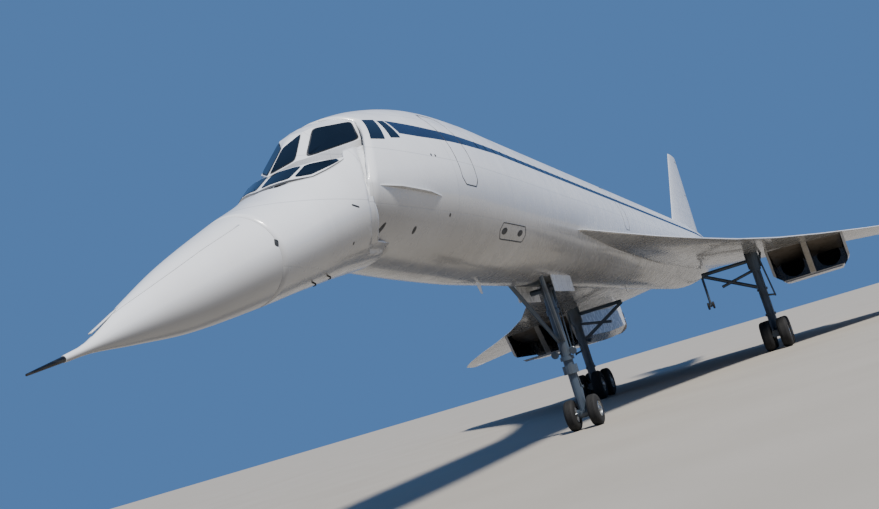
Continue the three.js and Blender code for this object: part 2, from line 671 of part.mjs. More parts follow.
function mainLeg() {
  const { x, s, top, pivot, beam, r, housing } = MAIN_GEAR;
  const post = rod([x, s, top], [x, s, pivot], r);
  const upper = rod([x, s, top], [x, s, 3.35], housing);
  const truck = box(x - 0.11, x + 0.11, s - 1, s + 1, pivot - beam, pivot + beam);
  const bores = [-1, 1].map(way => axleBore(x, s + way * MAIN_WHEEL.axle, MAIN_WHEEL.r, MAIN_WHEEL.core));
  const stays = [
    rod([x, s, 2.5], [1.75, s, 3.66], 0.075),
    rod([x, s, 3.7], [1.75, s, 3.7], 0.075),
    rod([x, s, 3.3], [2.4, s, 3.0], 0.06),
    rod([x, s, 2.9], [x + 0.35, s + 1.0, 4.05], 0.05),
    rod([x + 0.24, s - 0.1, 3.9], [x + 0.42, s - 0.1, 2.05], 0.035),
    rod([x, s - 0.1, 2.2], [x + 0.44, s - 0.1, 2.1], 0.04),
  ];
  return cut(join(post, upper, truck, ...stays), ...bores, wingSkin(), trunk());
}

function axleBore(x, s, z, r) {
  const bore = running(r, ROUND);
  return rod([x - 1, s, z], [x + 1, s, z], bore, bore, ROUND);
}

function tailLeg() {
  const { s, top, axle, r } = TAIL_GEAR;
  const post = rod([0, s, top], [0, s, axle], r);
  const fork = rod([-0.05, s, axle], [0.05, s, axle], 0.09);
  return cut(join(post, fork), trunk(), axleBore(0, s, axle, TAIL_WHEEL.core));
}

// Assembly
function mesh(name, geometry, look) {
  const piece = new THREE.Mesh(geometry, materials[look]);
  piece.name = name;
  return piece;
}

function turned(hinge, angle, ...pieces) {
  const inner = new THREE.Group();
  inner.position.set(0, -hinge.s, -hinge.z);
  inner.add(...pieces);
  const outer = new THREE.Group();
  outer.position.set(0, hinge.s, hinge.z);
  outer.rotation.x = angle;
  outer.add(inner);
  return outer;
}

function pair(name, geometry, look) {
  return [mesh(`${name}_left`, geometry, look), mesh(`${name}_right`, mirrored(geometry), look)];
}

function wheels(name, x, s, z, size) {
  return [
    mesh(`${name}_hubs`, wheelPair(x, s, z, size), 'steel'),
    mesh(`${name}_tyre_a`, tyre(x - size.at, s, z, size), 'tyre'),
    mesh(`${name}_tyre_b`, tyre(x + size.at, s, z, size), 'tyre'),
  ];
}

function mainWheels(side, name) {
  const { x, s } = MAIN_GEAR;
  return [['front', -1], ['rear', 1]].flatMap(([row, way]) =>
    wheels(`main_${name}_${row}`, side * x, s + way * MAIN_WHEEL.axle, MAIN_WHEEL.r, MAIN_WHEEL));
}

function engines() {
  return [['outer', 1], ['inner', -1]].flatMap(([name, side]) => pair(`engine_${name}`, engine(side), 'dark'));
}

function buckets() {
  return [['outer', 1], ['inner', -1]].flatMap(([name, side]) =>
    [['upper', 1], ['lower', -1]].flatMap(([row, up]) => pair(`bucket_${name}_${row}`, bucket(side, up), 'hot')));
}

function drawn(pieces, tipS) {
  const lengthwise = new THREE.Group();
  lengthwise.add(...pieces);
  lengthwise.position.y = -(tipS + LENGTH) / 2;
  const aircraft = new THREE.Group();
  aircraft.add(lengthwise);
  aircraft.scale.setScalar(MM_PER_METRE);
  return aircraft;
}

const nose = turned(NOSE_HINGE, DROOP,
  mesh('nose_shell', noseShell(), 'white'),
  mesh('radome', radome(), 'white'),
  mesh('pitot_probe', probe(), 'dark'),
  mesh('visor', visor(), 'glass'));

const fixed = [
  mesh('forward_fuselage', forwardFuselage(), 'white'),
  mesh('flight_deck', flightDeck(), 'white'),
  mesh('centre_fuselage', body([18 + SEAT, 30, 42 - SEAT]), 'white'),
  mesh('rear_fuselage', rearFuselage(), 'white'),
  mesh('fin', fin(), 'white'),
  ...pair('wing', wing(), 'white'),
  ...pair('nacelle', nacelle(), 'white'),
  ...engines(),
  mesh('nose_gear_leg', noseLeg(), 'gear'),
  ...pair('nose_gear_door', noseDoor(), 'white'),
  ...pair('main_gear_leg', mainLeg(), 'gear'),
  mesh('tail_gear_leg', tailLeg(), 'gear'),
];

const moving = [
  ...ELEVONS.flatMap(part => pair(`elevon_${part.name}`, elevon(part), 'white')),
  ...RUDDERS.map(part => mesh(`rudder_${part.name}`, rudder(part), 'white')),
  ...buckets(),
  mesh('nose_gear_steering', noseSteering(), 'gear'),
  ...wheels('nose_gear', 0, NOSE_GEAR.s, NOSE_GEAR.axle, NOSE_WHEEL),
  ...mainWheels(1, 'left'),
  ...mainWheels(-1, 'right'),
  mesh('tail_wheels', wheelPair(0, TAIL_GEAR.s, TAIL_GEAR.axle, TAIL_WHEEL), 'tyre'),
];

const { s, z } = NOSE_HINGE;
const tipS = s - s * Math.cos(DROOP) - (TIP_Z - z) * Math.sin(DROOP);
export default drawn([nose, ...fixed, ...moving], tipS);
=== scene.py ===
import math

import bmesh
import bpy
import numpy as np
from mathutils import Matrix


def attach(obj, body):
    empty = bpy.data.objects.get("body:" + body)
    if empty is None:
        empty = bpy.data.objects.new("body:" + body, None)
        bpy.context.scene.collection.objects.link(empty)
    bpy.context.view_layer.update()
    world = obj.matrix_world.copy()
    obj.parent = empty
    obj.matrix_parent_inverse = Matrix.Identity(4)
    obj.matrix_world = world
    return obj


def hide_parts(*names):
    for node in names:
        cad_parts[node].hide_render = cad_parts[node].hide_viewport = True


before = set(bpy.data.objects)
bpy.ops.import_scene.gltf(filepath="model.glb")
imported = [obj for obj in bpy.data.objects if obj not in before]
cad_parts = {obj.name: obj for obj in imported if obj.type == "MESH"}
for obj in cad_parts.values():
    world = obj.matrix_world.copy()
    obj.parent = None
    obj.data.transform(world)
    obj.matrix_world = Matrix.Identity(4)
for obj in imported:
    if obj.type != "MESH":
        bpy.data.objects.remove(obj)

bl_info = {
    "name": "Drooped-nose airliner",
    "version": (1, 0, 0),
    "blender": (4, 5, 0),
    "location": "3D View > Sidebar > Airliner",
    "description": "Dresses the packed airliner model: skins, glazing, gear details and finishes",
    "category": "Object",
}

# Shapes are the full-size aircraft's in metres: (x to its left, station s aft of the level nose's tip,
# height z). row() turns them into the half-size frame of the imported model, in which finishes, the weld gap
# and the floor are sized.
SCALE = 0.5
CENTRE_S = 30.90799
DROOP = math.radians(12.5)
NOSE_HINGE = (7.95, 4.35)
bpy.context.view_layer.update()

# Body sections: station, half width, belly height, height of the greatest width, crown height
SECTIONS = np.array([
    (0.52, 0.035, 4.465, 4.5, 4.535), (0.9, 0.06, 4.45, 4.51, 4.57), (1.6, 0.2, 4.35, 4.56, 4.79),
    (2.6, 0.41, 4.22, 4.63, 5.06), (4.05, 0.67, 4.14, 4.74, 5.35), (5.3, 0.87, 4.1, 4.84, 5.57),
    (6.3, 1.02, 4.06, 4.93, 5.92), (7.28, 1.15, 4.0, 5.02, 6.32), (8.6, 1.28, 3.91, 5.16, 6.7),
    (10.2, 1.4, 3.83, 5.32, 6.97), (12.2, 1.44, 3.76, 5.4, 7.07), (14.0, 1.44, 3.75, 5.41, 7.07),
    (42.0, 1.44, 3.75, 5.41, 7.07), (46.0, 1.36, 3.92, 5.46, 7.06), (50.0, 1.15, 4.27, 5.58, 6.98),
    (54.0, 0.84, 4.75, 5.75, 6.8), (58.0, 0.47, 5.34, 5.94, 6.53), (60.6, 0.2, 5.82, 6.06, 6.28),
    (61.66, 0.05, 6.04, 6.1, 6.15)])

# Wing ribs: distance from the centre line, leading edge, trailing edge, height of the lead, thickness
RIBS = np.array([
    (0.9, 17.2, 48.2, 4.76, 0.62), (1.4, 18.2, 48.2, 4.74, 0.66), (1.85, 21.0, 48.2, 4.65, 0.68),
    (2.4, 24.0, 48.2, 4.53, 0.66), (3.1, 27.0, 48.2, 4.39, 0.62), (3.95, 30.0, 48.18, 4.22, 0.56),
    (5.15, 33.0, 48.15, 4.02, 0.48), (6.7, 36.0, 48.1, 3.84, 0.38), (8.25, 38.5, 48.05, 3.68, 0.3),
    (9.95, 41.0, 48.0, 3.52, 0.22), (11.3, 43.0, 47.97, 3.36, 0.16), (12.2, 44.6, 47.95, 3.24, 0.12),
    (12.65, 45.9, 47.95, 3.22, 0.09), (12.8, 47.0, 47.9, 3.21, 0.06)])
HINGE_LINE = (46.35, 4.5)
TRAIL_THICK = 0.03
BAY_GAP = 0.03
BAY_DEPTH = 0.13
RIB_STEP = 0.22
WELD_GAP = 1e-5
# Sheets are about 3 m long and 0.9 m deep on the real one: half that in the model, with joints 4 mm wide
SHEET = {"length": 1.52, "depth": 0.46}
JOINT = 0.004
# Brown-grey of grime and painted shade on the skin where it faces down
GRIME_AND_SHADE = "#57524c"
STRIPE_BLUE = "#121b36"
# Where the body's sides start and stop being parallel, its tail tip, and a first guess for its joint
PARALLEL = (14.0, 42.0)
TAIL_TIP = 61.66
JOINT_GUESS = 6.9
SETTLE_ROUNDS = 40
WING_ROOT, WING_TIP = 1.2, 12.8
NOSE_LEG = 18.4
MAIN_LEG = (3.86, 36.55)
DIP = {"from": 1.62, "slope": math.tan(math.radians(6.56))}
ELEVON_BAYS = ((1.62, 4.2), (7.6, 9.88), (9.96, 12.25))
FIN = {"foot_z": 6.4, "root_z": 6.7, "tip_z": 12.2, "root_lead": 46.1, "tip_lead": 55.25,
       "root_trail": 57.05, "tip_trail": 57.95, "root_axis": 55.2, "tip_axis": 56.9,
       "root_thick": 0.3, "tip_thick": 0.13}
RUDDER_BAYS = ((7.35, 9.62), (9.76, 11.85))

# Flight deck: foot, base of the glass, its top, half roof, ridge; each line runs from the centre aft
DECK = np.array([
    [(0, 5.7, 4.98), (0.29, 6.0, 4.98), (0.34, 6.15, 4.98), (0.75, 7.2, 4.98), (0.8, 7.6, 4.98)],
    [(0, 5.5, 5.23), (0.3, 5.9, 5.41), (0.36, 6.06, 5.445), (0.78, 7.29, 5.774), (0.84, 7.7, 5.78)],
    [(0, 6.175, 5.755), (0.2, 6.57, 6.0), (0.27, 6.78, 6.072), (0.65, 7.44, 6.155), (0.63, 7.8, 6.2)],
    [(0, 6.19, 5.78), (0.1, 6.57, 6.02), (0.14, 6.86, 6.145), (0.36, 7.42, 6.29), (0.36, 7.8, 6.37)],
    [(0, 6.2, 5.785), (0, 6.55, 6.02), (0, 6.86, 6.16), (0, 7.4, 6.35), (0, 7.8, 6.43)]])
# Its panes: spans along the lines and across them
DECK_PANES = (((0.06, 0.94), (1.06, 1.95)), ((2.04, 2.97), (1.05, 1.95)))

# Lowered visor in the level nose's frame: lower edge, then upper edge, each from the centre aft
VISOR = np.array([
    [(0, 5.28, 5.575), (0.15, 5.36, 5.59), (0.27, 5.44, 5.59), (0.395, 5.545, 5.58), (0.63, 5.8, 5.53),
     (0.72, 6.12, 5.565), (0.79, 6.42, 5.61), (0.84, 6.66, 5.65)],
    [(0, 5.9, 5.765), (0.15, 5.92, 5.765), (0.3, 5.98, 5.755), (0.465, 6.07, 5.735), (0.545, 6.18, 5.73),
     (0.63, 6.29, 5.715), (0.73, 6.42, 5.68), (0.83, 6.68, 5.66)]])
VISOR_PANES = (((0.25, 2.85), (0.08, 0.93)), ((3.12, 6.3), (0.1, 0.9)))
VISOR_HINGE = (5.25, 5.3)

# Wheels: tyre radius, tyre width, hub radius, distance of each wheel from the middle of its axle
NOSE_WHEEL = {"r": 0.39, "width": 0.27, "hub": 0.2, "at": 0.3}
MAIN_WHEEL = {"r": 0.595, "width": 0.4, "hub": 0.3, "at": 0.335}
# Axles: start of the pieces' names, body, centre, wheel. Each main truck has one ahead of its leg, one aft
TRUCK_HALF = 0.835
AXLES = [("nose_gear", "nose_wheels", (0, NOSE_LEG, NOSE_WHEEL["r"]), NOSE_WHEEL)]
for side, sign in (("left", 1), ("right", -1)):
    for end, way in (("front", -1), ("rear", 1)):
        middle = (sign * MAIN_LEG[0], MAIN_LEG[1] + way * TRUCK_HALF, MAIN_WHEEL["r"])
        AXLES.append((f"main_{side}_{end}", f"main_{side}_{end}_wheels", middle, MAIN_WHEEL))

# Nacelles: middles of the two ducts, half width, floor and roof of a duct, and how far aft its painted shade
# goes
DUCTS = {"middles": (5.12, 6.68), "half": 0.667, "floor": 2.53, "roof": 3.86, "back": 41.3}


# Shape helpers
def row(points):
    """Full-size points, halved and moved so that the middle of the length is at zero."""
    return (np.asarray(points, float) - (0.0, CENTRE_S, 0.0)) * SCALE


def drooped(points):
    """Points of the level nose, turned down about the nose hinge by the droop angle."""
    p = np.array(points, float)
    ds, dz = p[..., 1] - NOSE_HINGE[0], p[..., 2] - NOSE_HINGE[1]
    c, n = math.cos(DROOP), math.sin(DROOP)
    p[..., 1] = NOSE_HINGE[0] + ds * c - dz * n
    p[..., 2] = NOSE_HINGE[1] + ds * n + dz * c
    return p


def section(s):
    """Half width, belly, waist and crown at stations s: a cubic through the rows, with central slopes."""
    s = np.asarray(s, float)
    last = len(SECTIONS) - 1
    i = np.clip(np.searchsorted(SECTIONS[:, 0], s, side="left") - 1, 0, last - 1)
    before, a, b, after = (SECTIONS[np.clip(i + k, 0, last)] for k in (-1, 0, 1, 2))
    step = b[..., :1] - a[..., :1]
    t = (s[..., None] - a[..., :1]) / step
    slope_a = (b - before) / (b[..., :1] - before[..., :1]) * step
    slope_b = (after - a) / (after[..., :1] - a[..., :1]) * step
    rise = b - a
    value = (a + t * slope_a + t ** 2 * (3 * rise - 2 * slope_a - slope_b)
             + t ** 3 * (slope_a + slope_b - 2 * rise))
    return value[..., 1], value[..., 2], value[..., 3], value[..., 4]


def body_point(s, angle, inset=0.0):
    """Two half ellipses that meet at the waist: x = half cos a, z = waist + height sin a, less the inset."""
    half, belly, waist, crown = section(s)
    height = np.where(np.sin(angle) > 0, crown - waist, waist - belly)
    z = waist + (height - inset) * np.sin(angle)
    return xyz((half - inset) * np.cos(angle), s, z)


def body_x(s, z, inset=0.0):
    """Half width of the body's skin at station s and height z."""
    half, belly, waist, crown = section(s)
    height = np.where(z > waist, crown - waist, waist - belly) - inset
    return (half - inset) * np.sqrt(np.clip(1 - ((z - waist) / height) ** 2, 0.0, 1.0))


def xyz(x, s, z):
    """Coordinates, each a number or an array, as one array of points."""
    return np.stack(np.broadcast_arrays(x, s, z), -1)


def once_round(count):
    """Angles spaced evenly once round a circle."""
    return np.linspace(0, 2 * math.pi, count, endpoint=False)


def unit(vectors):
    """Vectors cut to a length of one."""
    return vectors / np.linalg.norm(vectors, axis=-1, keepdims=True)


def grid_faces(rows, columns, wrap_rows=False, wrap_columns=False):
    """Quads of a grid of points that is stored row after row, closed round on itself where asked."""
    i = np.arange(rows if wrap_rows else rows - 1)[:, None]
    j = np.arange(columns if wrap_columns else columns - 1)[None, :]
    up, right = (i + 1) % rows, (j + 1) % columns
    corners = [i * columns + j, i * columns + right, up * columns + right, up * columns + j]
    return np.stack([np.broadcast_to(c, (i.size, j.size)).ravel() for c in corners], -1)


def surface(points, wrap_rows=False, wrap_columns=False):
    """An open or wrapped grid of points as (vertices, faces)."""
    rows, columns = points.shape[:2]
    return points.reshape(-1, 3), grid_faces(rows, columns, wrap_rows, wrap_columns).tolist()


def closed_tube(rings):
    """Rings of points joined along, with a fan over each end: a closed solid."""
    rings = np.asarray(rings)
    rows, columns = rings.shape[:2]
    points = np.concatenate([rings.reshape(-1, 3), rings[0].mean(0)[None], rings[-1].mean(0)[None]])
    j = np.arange(columns)
    k = (j + 1) % columns
    first = np.stack([np.full(columns, rows * columns), k, j], -1)
    end = (rows - 1) * columns
    last = np.stack([np.full(columns, rows * columns + 1), j + end, k + end], -1)
    faces = grid_faces(rows, columns, wrap_columns=True).tolist() + first.tolist() + last.tolist()
    return facing_out(points, faces)


def slab(outer, inner):
    """Two grids of the same shape, joined round their rims: a closed plate."""
    rows, columns = outer.shape[:2]
    count = rows * columns
    ids = np.arange(count).reshape(rows, columns)
    rim = np.concatenate([ids[0, :], ids[1:, -1], ids[-1, -2::-1], ids[-2:0:-1, 0]])
    after = np.roll(rim, -1)
    faces = grid_faces(rows, columns)
    sides = np.stack([after, rim, rim + count, after + count], -1)
    allfaces = np.concatenate([faces, faces[:, ::-1] + count, sides])
    return facing_out(np.concatenate([outer.reshape(-1, 3), inner.reshape(-1, 3)]), allfaces.tolist())


def facing_out(points, faces):
    """A closed solid with its faces turned outwards, judged by the sign of its volume."""
    fans = np.array([(f[0], f[k], f[k + 1]) for f in faces for k in range(1, len(f) - 1)])
    a, b, c = points[fans[:, 0]], points[fans[:, 1]], points[fans[:, 2]]
    middle = points.mean(0)
    volume = np.einsum("ij,ij->i", a - middle, np.cross(b - middle, c - middle)).sum()
    return points, faces if volume > 0 else [f[::-1] for f in faces]


def joined(parts):
    """Several (vertices, faces) pairs as one."""
    points, faces, count = [], [], 0
    for some, more in parts:
        points.append(np.asarray(some, float))
        faces.extend([[i + count for i in f] for f in more])
        count += len(some)
    return np.concatenate(points), faces


def mirrored(part):
    """A solid mirrored to the aircraft's other side, its faces turned again to point outwards."""
    points, faces = part
    return points * (-1, 1, 1), [f[::-1] for f in faces]


def both(*parts):
    """Solids and their mirror images as one."""
    part = joined(parts)
    return joined([part, mirrored(part)])


def tube(path, radius, sides=12):
    """A circle carried along a path of points, turned square to it at each point."""
    path = np.asarray(path, float)
    radius = np.broadcast_to(np.asarray(radius, float), len(path))
    along = unit(np.gradient(path, axis=0))
    spare = np.where(np.abs(along[:, :1]) < 0.9, [[1.0, 0, 0]], [[0, 1.0, 0]])
    across = unit(np.cross(along, spare))
    up = np.cross(along, across)
    a = once_round(sides)[:, None]
    rings = path[:, None] + radius[:, None, None] * (np.cos(a) * across[:, None] + np.sin(a) * up[:, None])
    return closed_tube(rings)


def lathe(profile, centre, axis=(1, 0, 0), sides=32):
    """A profile of (distance along, radius) carried round an axis through the centre."""
    profile = np.asarray(profile, float)
    axis = unit(np.asarray(axis, float))
    spare = np.array([0, 0, 1.0]) if abs(axis[2]) < 0.9 else np.array([0, 1.0, 0])
    across = unit(np.cross(axis, spare))
    up = np.cross(axis, across)
    a = once_round(sides)[None, :, None]
    rings = profile[:, None, :1] * axis + profile[:, None, 1:] * (np.cos(a) * across + np.sin(a) * up)
    return closed_tube(rings + np.asarray(centre, float))


def barrel(centre, bore, radius, near, far, axis=(1, 0, 0), sides=32):
    """A short cylinder round an axis, between two distances along it from the centre."""
    return lathe([(near, bore), (near, radius), (far, radius), (far, bore)], centre, axis, sides)


def beam(start, end, width, depth):
    """A flat bar between two points, with small chamfers on its long edges."""
    start, end = np.asarray(start, float), np.asarray(end, float)
    along = unit(end - start)
    spare = np.array([1.0, 0, 0]) if abs(along[0]) < 0.9 else np.array([0, 1.0, 0])
    up = unit(np.cross(along, spare))
    side = np.cross(up, along)
    w, d, c = width / 2, depth / 2, min(width, depth) * 0.15
    half = np.array([(w, d - c), (w - c, d), (c - w, d), (-w, d - c)])
    outline = np.concatenate([half, -half])
    t = np.array([0.0, 1.0])[:, None, None]
    rings = start + t * (end - start) + outline[None, :, :1] * side + outline[None, :, 1:] * up
    return closed_tube(rings)


def body_patch(lower, upper, proud=0.004, sink=0.02, steps=(9, 7), x_of=body_x):
    """A plate on the body's left side between two lines of (s, z) points: v runs from the lower line to the
    upper one, u along both, and each point stands on the skin, proud of it outside and sunk inside."""
    u = np.linspace(0, 1, steps[0])
    lines = []
    for line in (lower, upper):
        line = np.asarray(line, float)
        t = np.linspace(0, 1, len(line))
        lines.append(np.stack([np.interp(u, t, line[:, 0]), np.interp(u, t, line[:, 1])], -1))
    v = np.linspace(0, 1, steps[1])[None, :, None]
    side = lines[0][:, None] * (1 - v) + lines[1][:, None] * v
    s, z = side[..., 0], side[..., 1]
    x = x_of(s, z)
    return slab(*(xyz(x + d, s, z) for d in (proud, -sink)))


def net(lines, u, v, lift=0.0):
    """Points where u counts along lines of points and v counts from line to line, straight in between, each
    moved out by the lift along the normal, which is the cross product of the two directions."""
    u, v = np.broadcast_arrays(np.asarray(u, float), np.asarray(v, float))
    i = np.clip(np.floor(u).astype(int), 0, lines.shape[1] - 2)
    j = np.clip(np.floor(v).astype(int), 0, lines.shape[0] - 2)
    a, b = (u - i)[..., None], (v - j)[..., None]
    start, end, over, far = lines[j, i], lines[j, i + 1], lines[j + 1, i], lines[j + 1, i + 1]
    along = (1 - b) * (end - start) + b * (far - over)
    across = (1 - a) * (over - start) + a * (far - end)
    normal = np.cross(along, across)
    normal /= np.maximum(np.linalg.norm(normal, axis=-1, keepdims=True), 1e-9)
    return start + a * (end - start) + b * across + lift * normal


def rounded(square, count):
    """Points round |a|^n + |b|^n = 1, a square with rounded corners for a large n."""
    t = once_round(count) + math.pi / count
    return [np.sign(f) * np.abs(f) ** (2 / square) for f in (np.cos(t), np.sin(t))]


def net_plate(lines, spans, grow, sink, lift, count=64):
    """A plate with rounded corners over spans of a net, grown all round by a share of the spans."""
    (u0, u1), (v0, v1) = spans
    a, b = rounded(9.0, count)
    rims = []
    for share, height in ((1.0, -sink), (1.0, lift * 0.5), (0.985, lift), (0.5, lift)):
        half_u, half_v = ((u1 - u0) / 2 + grow) * share, ((v1 - v0) / 2 + grow) * share
        rims.append(net(lines, (u0 + u1) / 2 + half_u * a, (v0 + v1) / 2 + half_v * b, height))
    return closed_tube(rims)


def body_plate(s, z, half_s, half_z, proud=0.006, sink=0.02, square=4.0, tilt=0.0, count=16, nose=False):
    """A small plate with rounded corners on the body's left side, round a middle at (s, z)."""
    a, b = rounded(square, count)
    c, n = math.cos(tilt), math.sin(tilt)
    rims = []
    for share, height in ((1.0, -sink), (1.0, proud * 0.5), (0.8, proud)):
        at_s = s + share * (a * half_s * c - b * half_z * n)
        at_z = z + share * (a * half_s * n + b * half_z * c)
        rims.append(xyz(body_x(at_s, at_z) + height, at_s, at_z))
    return closed_tube(drooped(rims) if nose else rims)


def body_strip(path, width, proud=0.005, nose=False):
    """A narrow raised strip on the body's left side, along a path of (s, z) points."""
    path = np.asarray(path, float)
    steps = np.linspace(0, len(path) - 1, 6 * len(path))
    line = np.stack([np.interp(steps, np.arange(len(path)), path[:, k]) for k in (0, 1)], -1)
    along = np.gradient(line, axis=0)
    side = unit(np.stack([-along[:, 1], along[:, 0]], -1))
    edge = np.linspace(-width / 2, width / 2, 3)[None, :, None]
    flat = line[:, None] + edge * side[:, None]
    s, z = flat[..., 0], flat[..., 1]
    outer, inner = (xyz(body_x(s, z) + d, s, z) for d in (proud, -0.02))
    return slab(drooped(outer), drooped(inner)) if nose else slab(outer, inner)


def bulkhead(s, thick, low, high, inset):
    """A plate square to the body, its outline the body's section less the inset, between two heights."""
    z = np.linspace(low, high, 24)
    x = np.maximum(body_x(s, z, inset), 0.01)
    outline = np.concatenate([np.stack([x, z], -1), np.stack([-x, z], -1)[::-1]])
    across, up = outline.T
    return closed_tube([xyz(across, at, up) for at in (s, s + thick)])


def belly_plate(s0, s1, half, proud, sink, steps=(25, 13)):
    """A plate on the body's underside between two stations, half a width to each side."""
    s = np.linspace(s0, s1, steps[0])[:, None]
    x = np.linspace(-half, half, steps[1])[None, :]
    width, belly, waist, crown = section(np.broadcast_to(s, (steps[0], steps[1])))
    z = waist - (waist - belly) * np.sqrt(1 - (x / width) ** 2)
    flat = xyz(x, s, z)
    return slab(flat - (0, 0, proud), flat + (0, 0, sink))


def turned_ring(profile, centre, sides=64):
    """A closed profile of (distance along x, radius) carried round the x axis through the centre: a ring."""
    profile = np.asarray(profile, float)
    a = once_round(sides)[:, None]
    rings = xyz(profile[:, 0], profile[:, 1] * np.cos(a), profile[:, 1] * np.sin(a))
    return facing_out(*surface(rings + np.asarray(centre, float), True, True))


def placed(name, data):
    """A new object in the scene."""
    thing = bpy.data.objects.new(name, data)
    bpy.context.scene.collection.objects.link(thing)
    return thing


def piece(name, part, body, look, replaces=(), slot="white"):
    """Puts full-size vertices and faces into a new object at the origin, and says what it rides on."""
    points, faces = part
    mesh = bpy.data.meshes.new(name)
    mesh.from_pydata(row(points).tolist(), [], [list(map(int, f)) for f in faces])
    mesh.validate()
    mesh.polygons.foreach_set("use_smooth", np.full(len(mesh.polygons), True))
    mesh.update()
    thing = placed(name, mesh)
    mesh.materials.append(FINISHES[look])
    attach(thing, body)
    if replaces:
        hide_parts(*replaces)
    return thing


def reworked(thing, change):
    """Opens a piece's mesh, lets a function change it and puts it back."""
    work = bmesh.new()
    work.from_mesh(thing.data)
    change(work)
    work.to_mesh(thing.data)
    work.free()
    return thing


def welded(thing):
    """Merges doubled points of a piece's mesh."""
    def change(work):
        bmesh.ops.remove_doubles(work, verts=work.verts, dist=WELD_GAP)
    return reworked(thing, change)


def creased(thing, degrees=35.0):
    """Keeps edges sharper than an angle crisp while the rest is shaded smooth."""
    def change(work):
        for edge in work.edges:
            edge.smooth = len(edge.link_faces) == 2 and edge.calc_face_angle() < math.radians(degrees)
    return reworked(thing, change)


def crisp(*facts, **more):
    """A piece whose sharp edges stay crisp."""
    return creased(piece(*facts, **more))


def wall(thing, thickness):
    """Gives an open skin its thickness in full-size metres, inwards."""
    solidify = thing.modifiers.new("wall", "SOLIDIFY")
    solidify.thickness = thickness * SCALE
    solidify.offset = -1.0
    return thing


# Finishes
def rgb(colour):
    """An sRGB hex colour as linear light; a colour from the panel is linear already."""
    if not isinstance(colour, str):
        return tuple(colour)
    values = [int(colour[i:i + 2], 16) / 255 for i in (1, 3, 5)]
    return (*[v / 12.92 if v <= 0.04045 else ((v + 0.055) / 1.055) ** 2.4 for v in values], 1.0)


def node(tree, kind, inputs=None, **settings):
    """Adds a node: settings go to the node, and inputs, by name or number, are linked or set. A hex
    colour may stand for its value."""
    new = tree.nodes.new(kind)
    for name, value in settings.items():
        setattr(new, name, value)
    for key, value in (inputs or {}).items():
        if isinstance(value, bpy.types.NodeSocket):
            tree.links.new(value, new.inputs[key])
        else:
            new.inputs[key].default_value = rgb(value) if isinstance(value, str) else value
    return new


def finish(name, colour, roughness, metallic=0.0, **sockets):
    """A new material with a principled surface: returns it, its shader and its object coordinates."""
    material = bpy.data.materials.new(name)
    material.use_nodes = True
    shader = material.node_tree.nodes["Principled BSDF"]
    shader.inputs["Base Color"].default_value = rgb(colour)
    shader.inputs["Roughness"].default_value = roughness
    shader.inputs["Metallic"].default_value = metallic
    for key, value in sockets.items():
        shader.inputs[key.replace("_", " ")].default_value = value
    place = node(material.node_tree, "ShaderNodeTexCoord").outputs["Object"]
    return material, shader, place


def tint(shader, value):
    """Links a colour to the shader."""
    shader.id_data.links.new(value, shader.inputs["Base Color"])


def dull(shader, value):
    """Links a roughness to the shader."""
    shader.id_data.links.new(value, shader.inputs["Roughness"])


def maths(operation, first, second=0.0):
    """One sum on a value at every point."""
    return node(first.id_data, "ShaderNodeMath", {0: first, 1: second}, operation=operation).outputs[0]


def product(first, *others):
    """Values multiplied together at every point."""
    for other in others:
        first = maths("MULTIPLY", first, other)
    return first


def blend(factor, first, second):
    """Mixes two colours by a factor."""
    mix = node(factor.id_data, "ShaderNodeMix", {0: factor, 6: first, 7: second}, data_type="RGBA")
    return mix.outputs[2]


def spread(value, low, high, to_low=0.0, to_high=1.0):
    """A value carried from one range to another, and held at its ends."""
    ranges = {0: value, 1: low, 2: high, 3: to_low, 4: to_high}
    return node(value.id_data, "ShaderNodeMapRange", ranges).outputs[0]


def noise(place, scale, detail=3.0, stretch=(1, 1, 1)):
    """Soft noise at a scale per metre, stretched along the axes where asked."""
    tree = place.id_data
    moved = node(tree, "ShaderNodeMapping", {"Vector": place, "Scale": stretch}).outputs[0]
    return node(tree, "ShaderNodeTexNoise", {"Vector": moved, "Scale": scale, "Detail": detail}).outputs[0]


def line_at(value, pitch, width):
    """One where a value comes within half a width of a whole number of pitches, and zero elsewhere."""
    away = maths("PINGPONG", value, pitch / 2)
    return spread(away, width / 2, width, 1.0, 0.0)


def apart(place):
    """The three coordinates as values."""
    return tuple(node(place.id_data, "ShaderNodeSeparateXYZ", {0: place}).outputs)


def bump(shader, height, distance, strength=1.0):
    """Raises the surface's shading by a height pattern, in metres."""
    tree = shader.id_data
    made = node(tree, "ShaderNodeBump", {"Height": height, "Distance": distance, "Strength": strength})
    tree.links.new(made.outputs[0], shader.inputs["Normal"])


FINISHES = {}


def underside(place):
    """How much grime, oil and painted shade the enamel gets: none on top, most where the skin faces down."""
    facing = apart(node(place.id_data, "ShaderNodeTexCoord").outputs["Normal"])[2]
    grime_and_shade = spread(facing, 0.1, -0.6)
    patches = spread(noise(place, 0.9, 4.0, (1.0, 0.35, 1.0)), 0.3, 0.7, 0.62, 0.85)
    return product(grime_and_shade, patches)


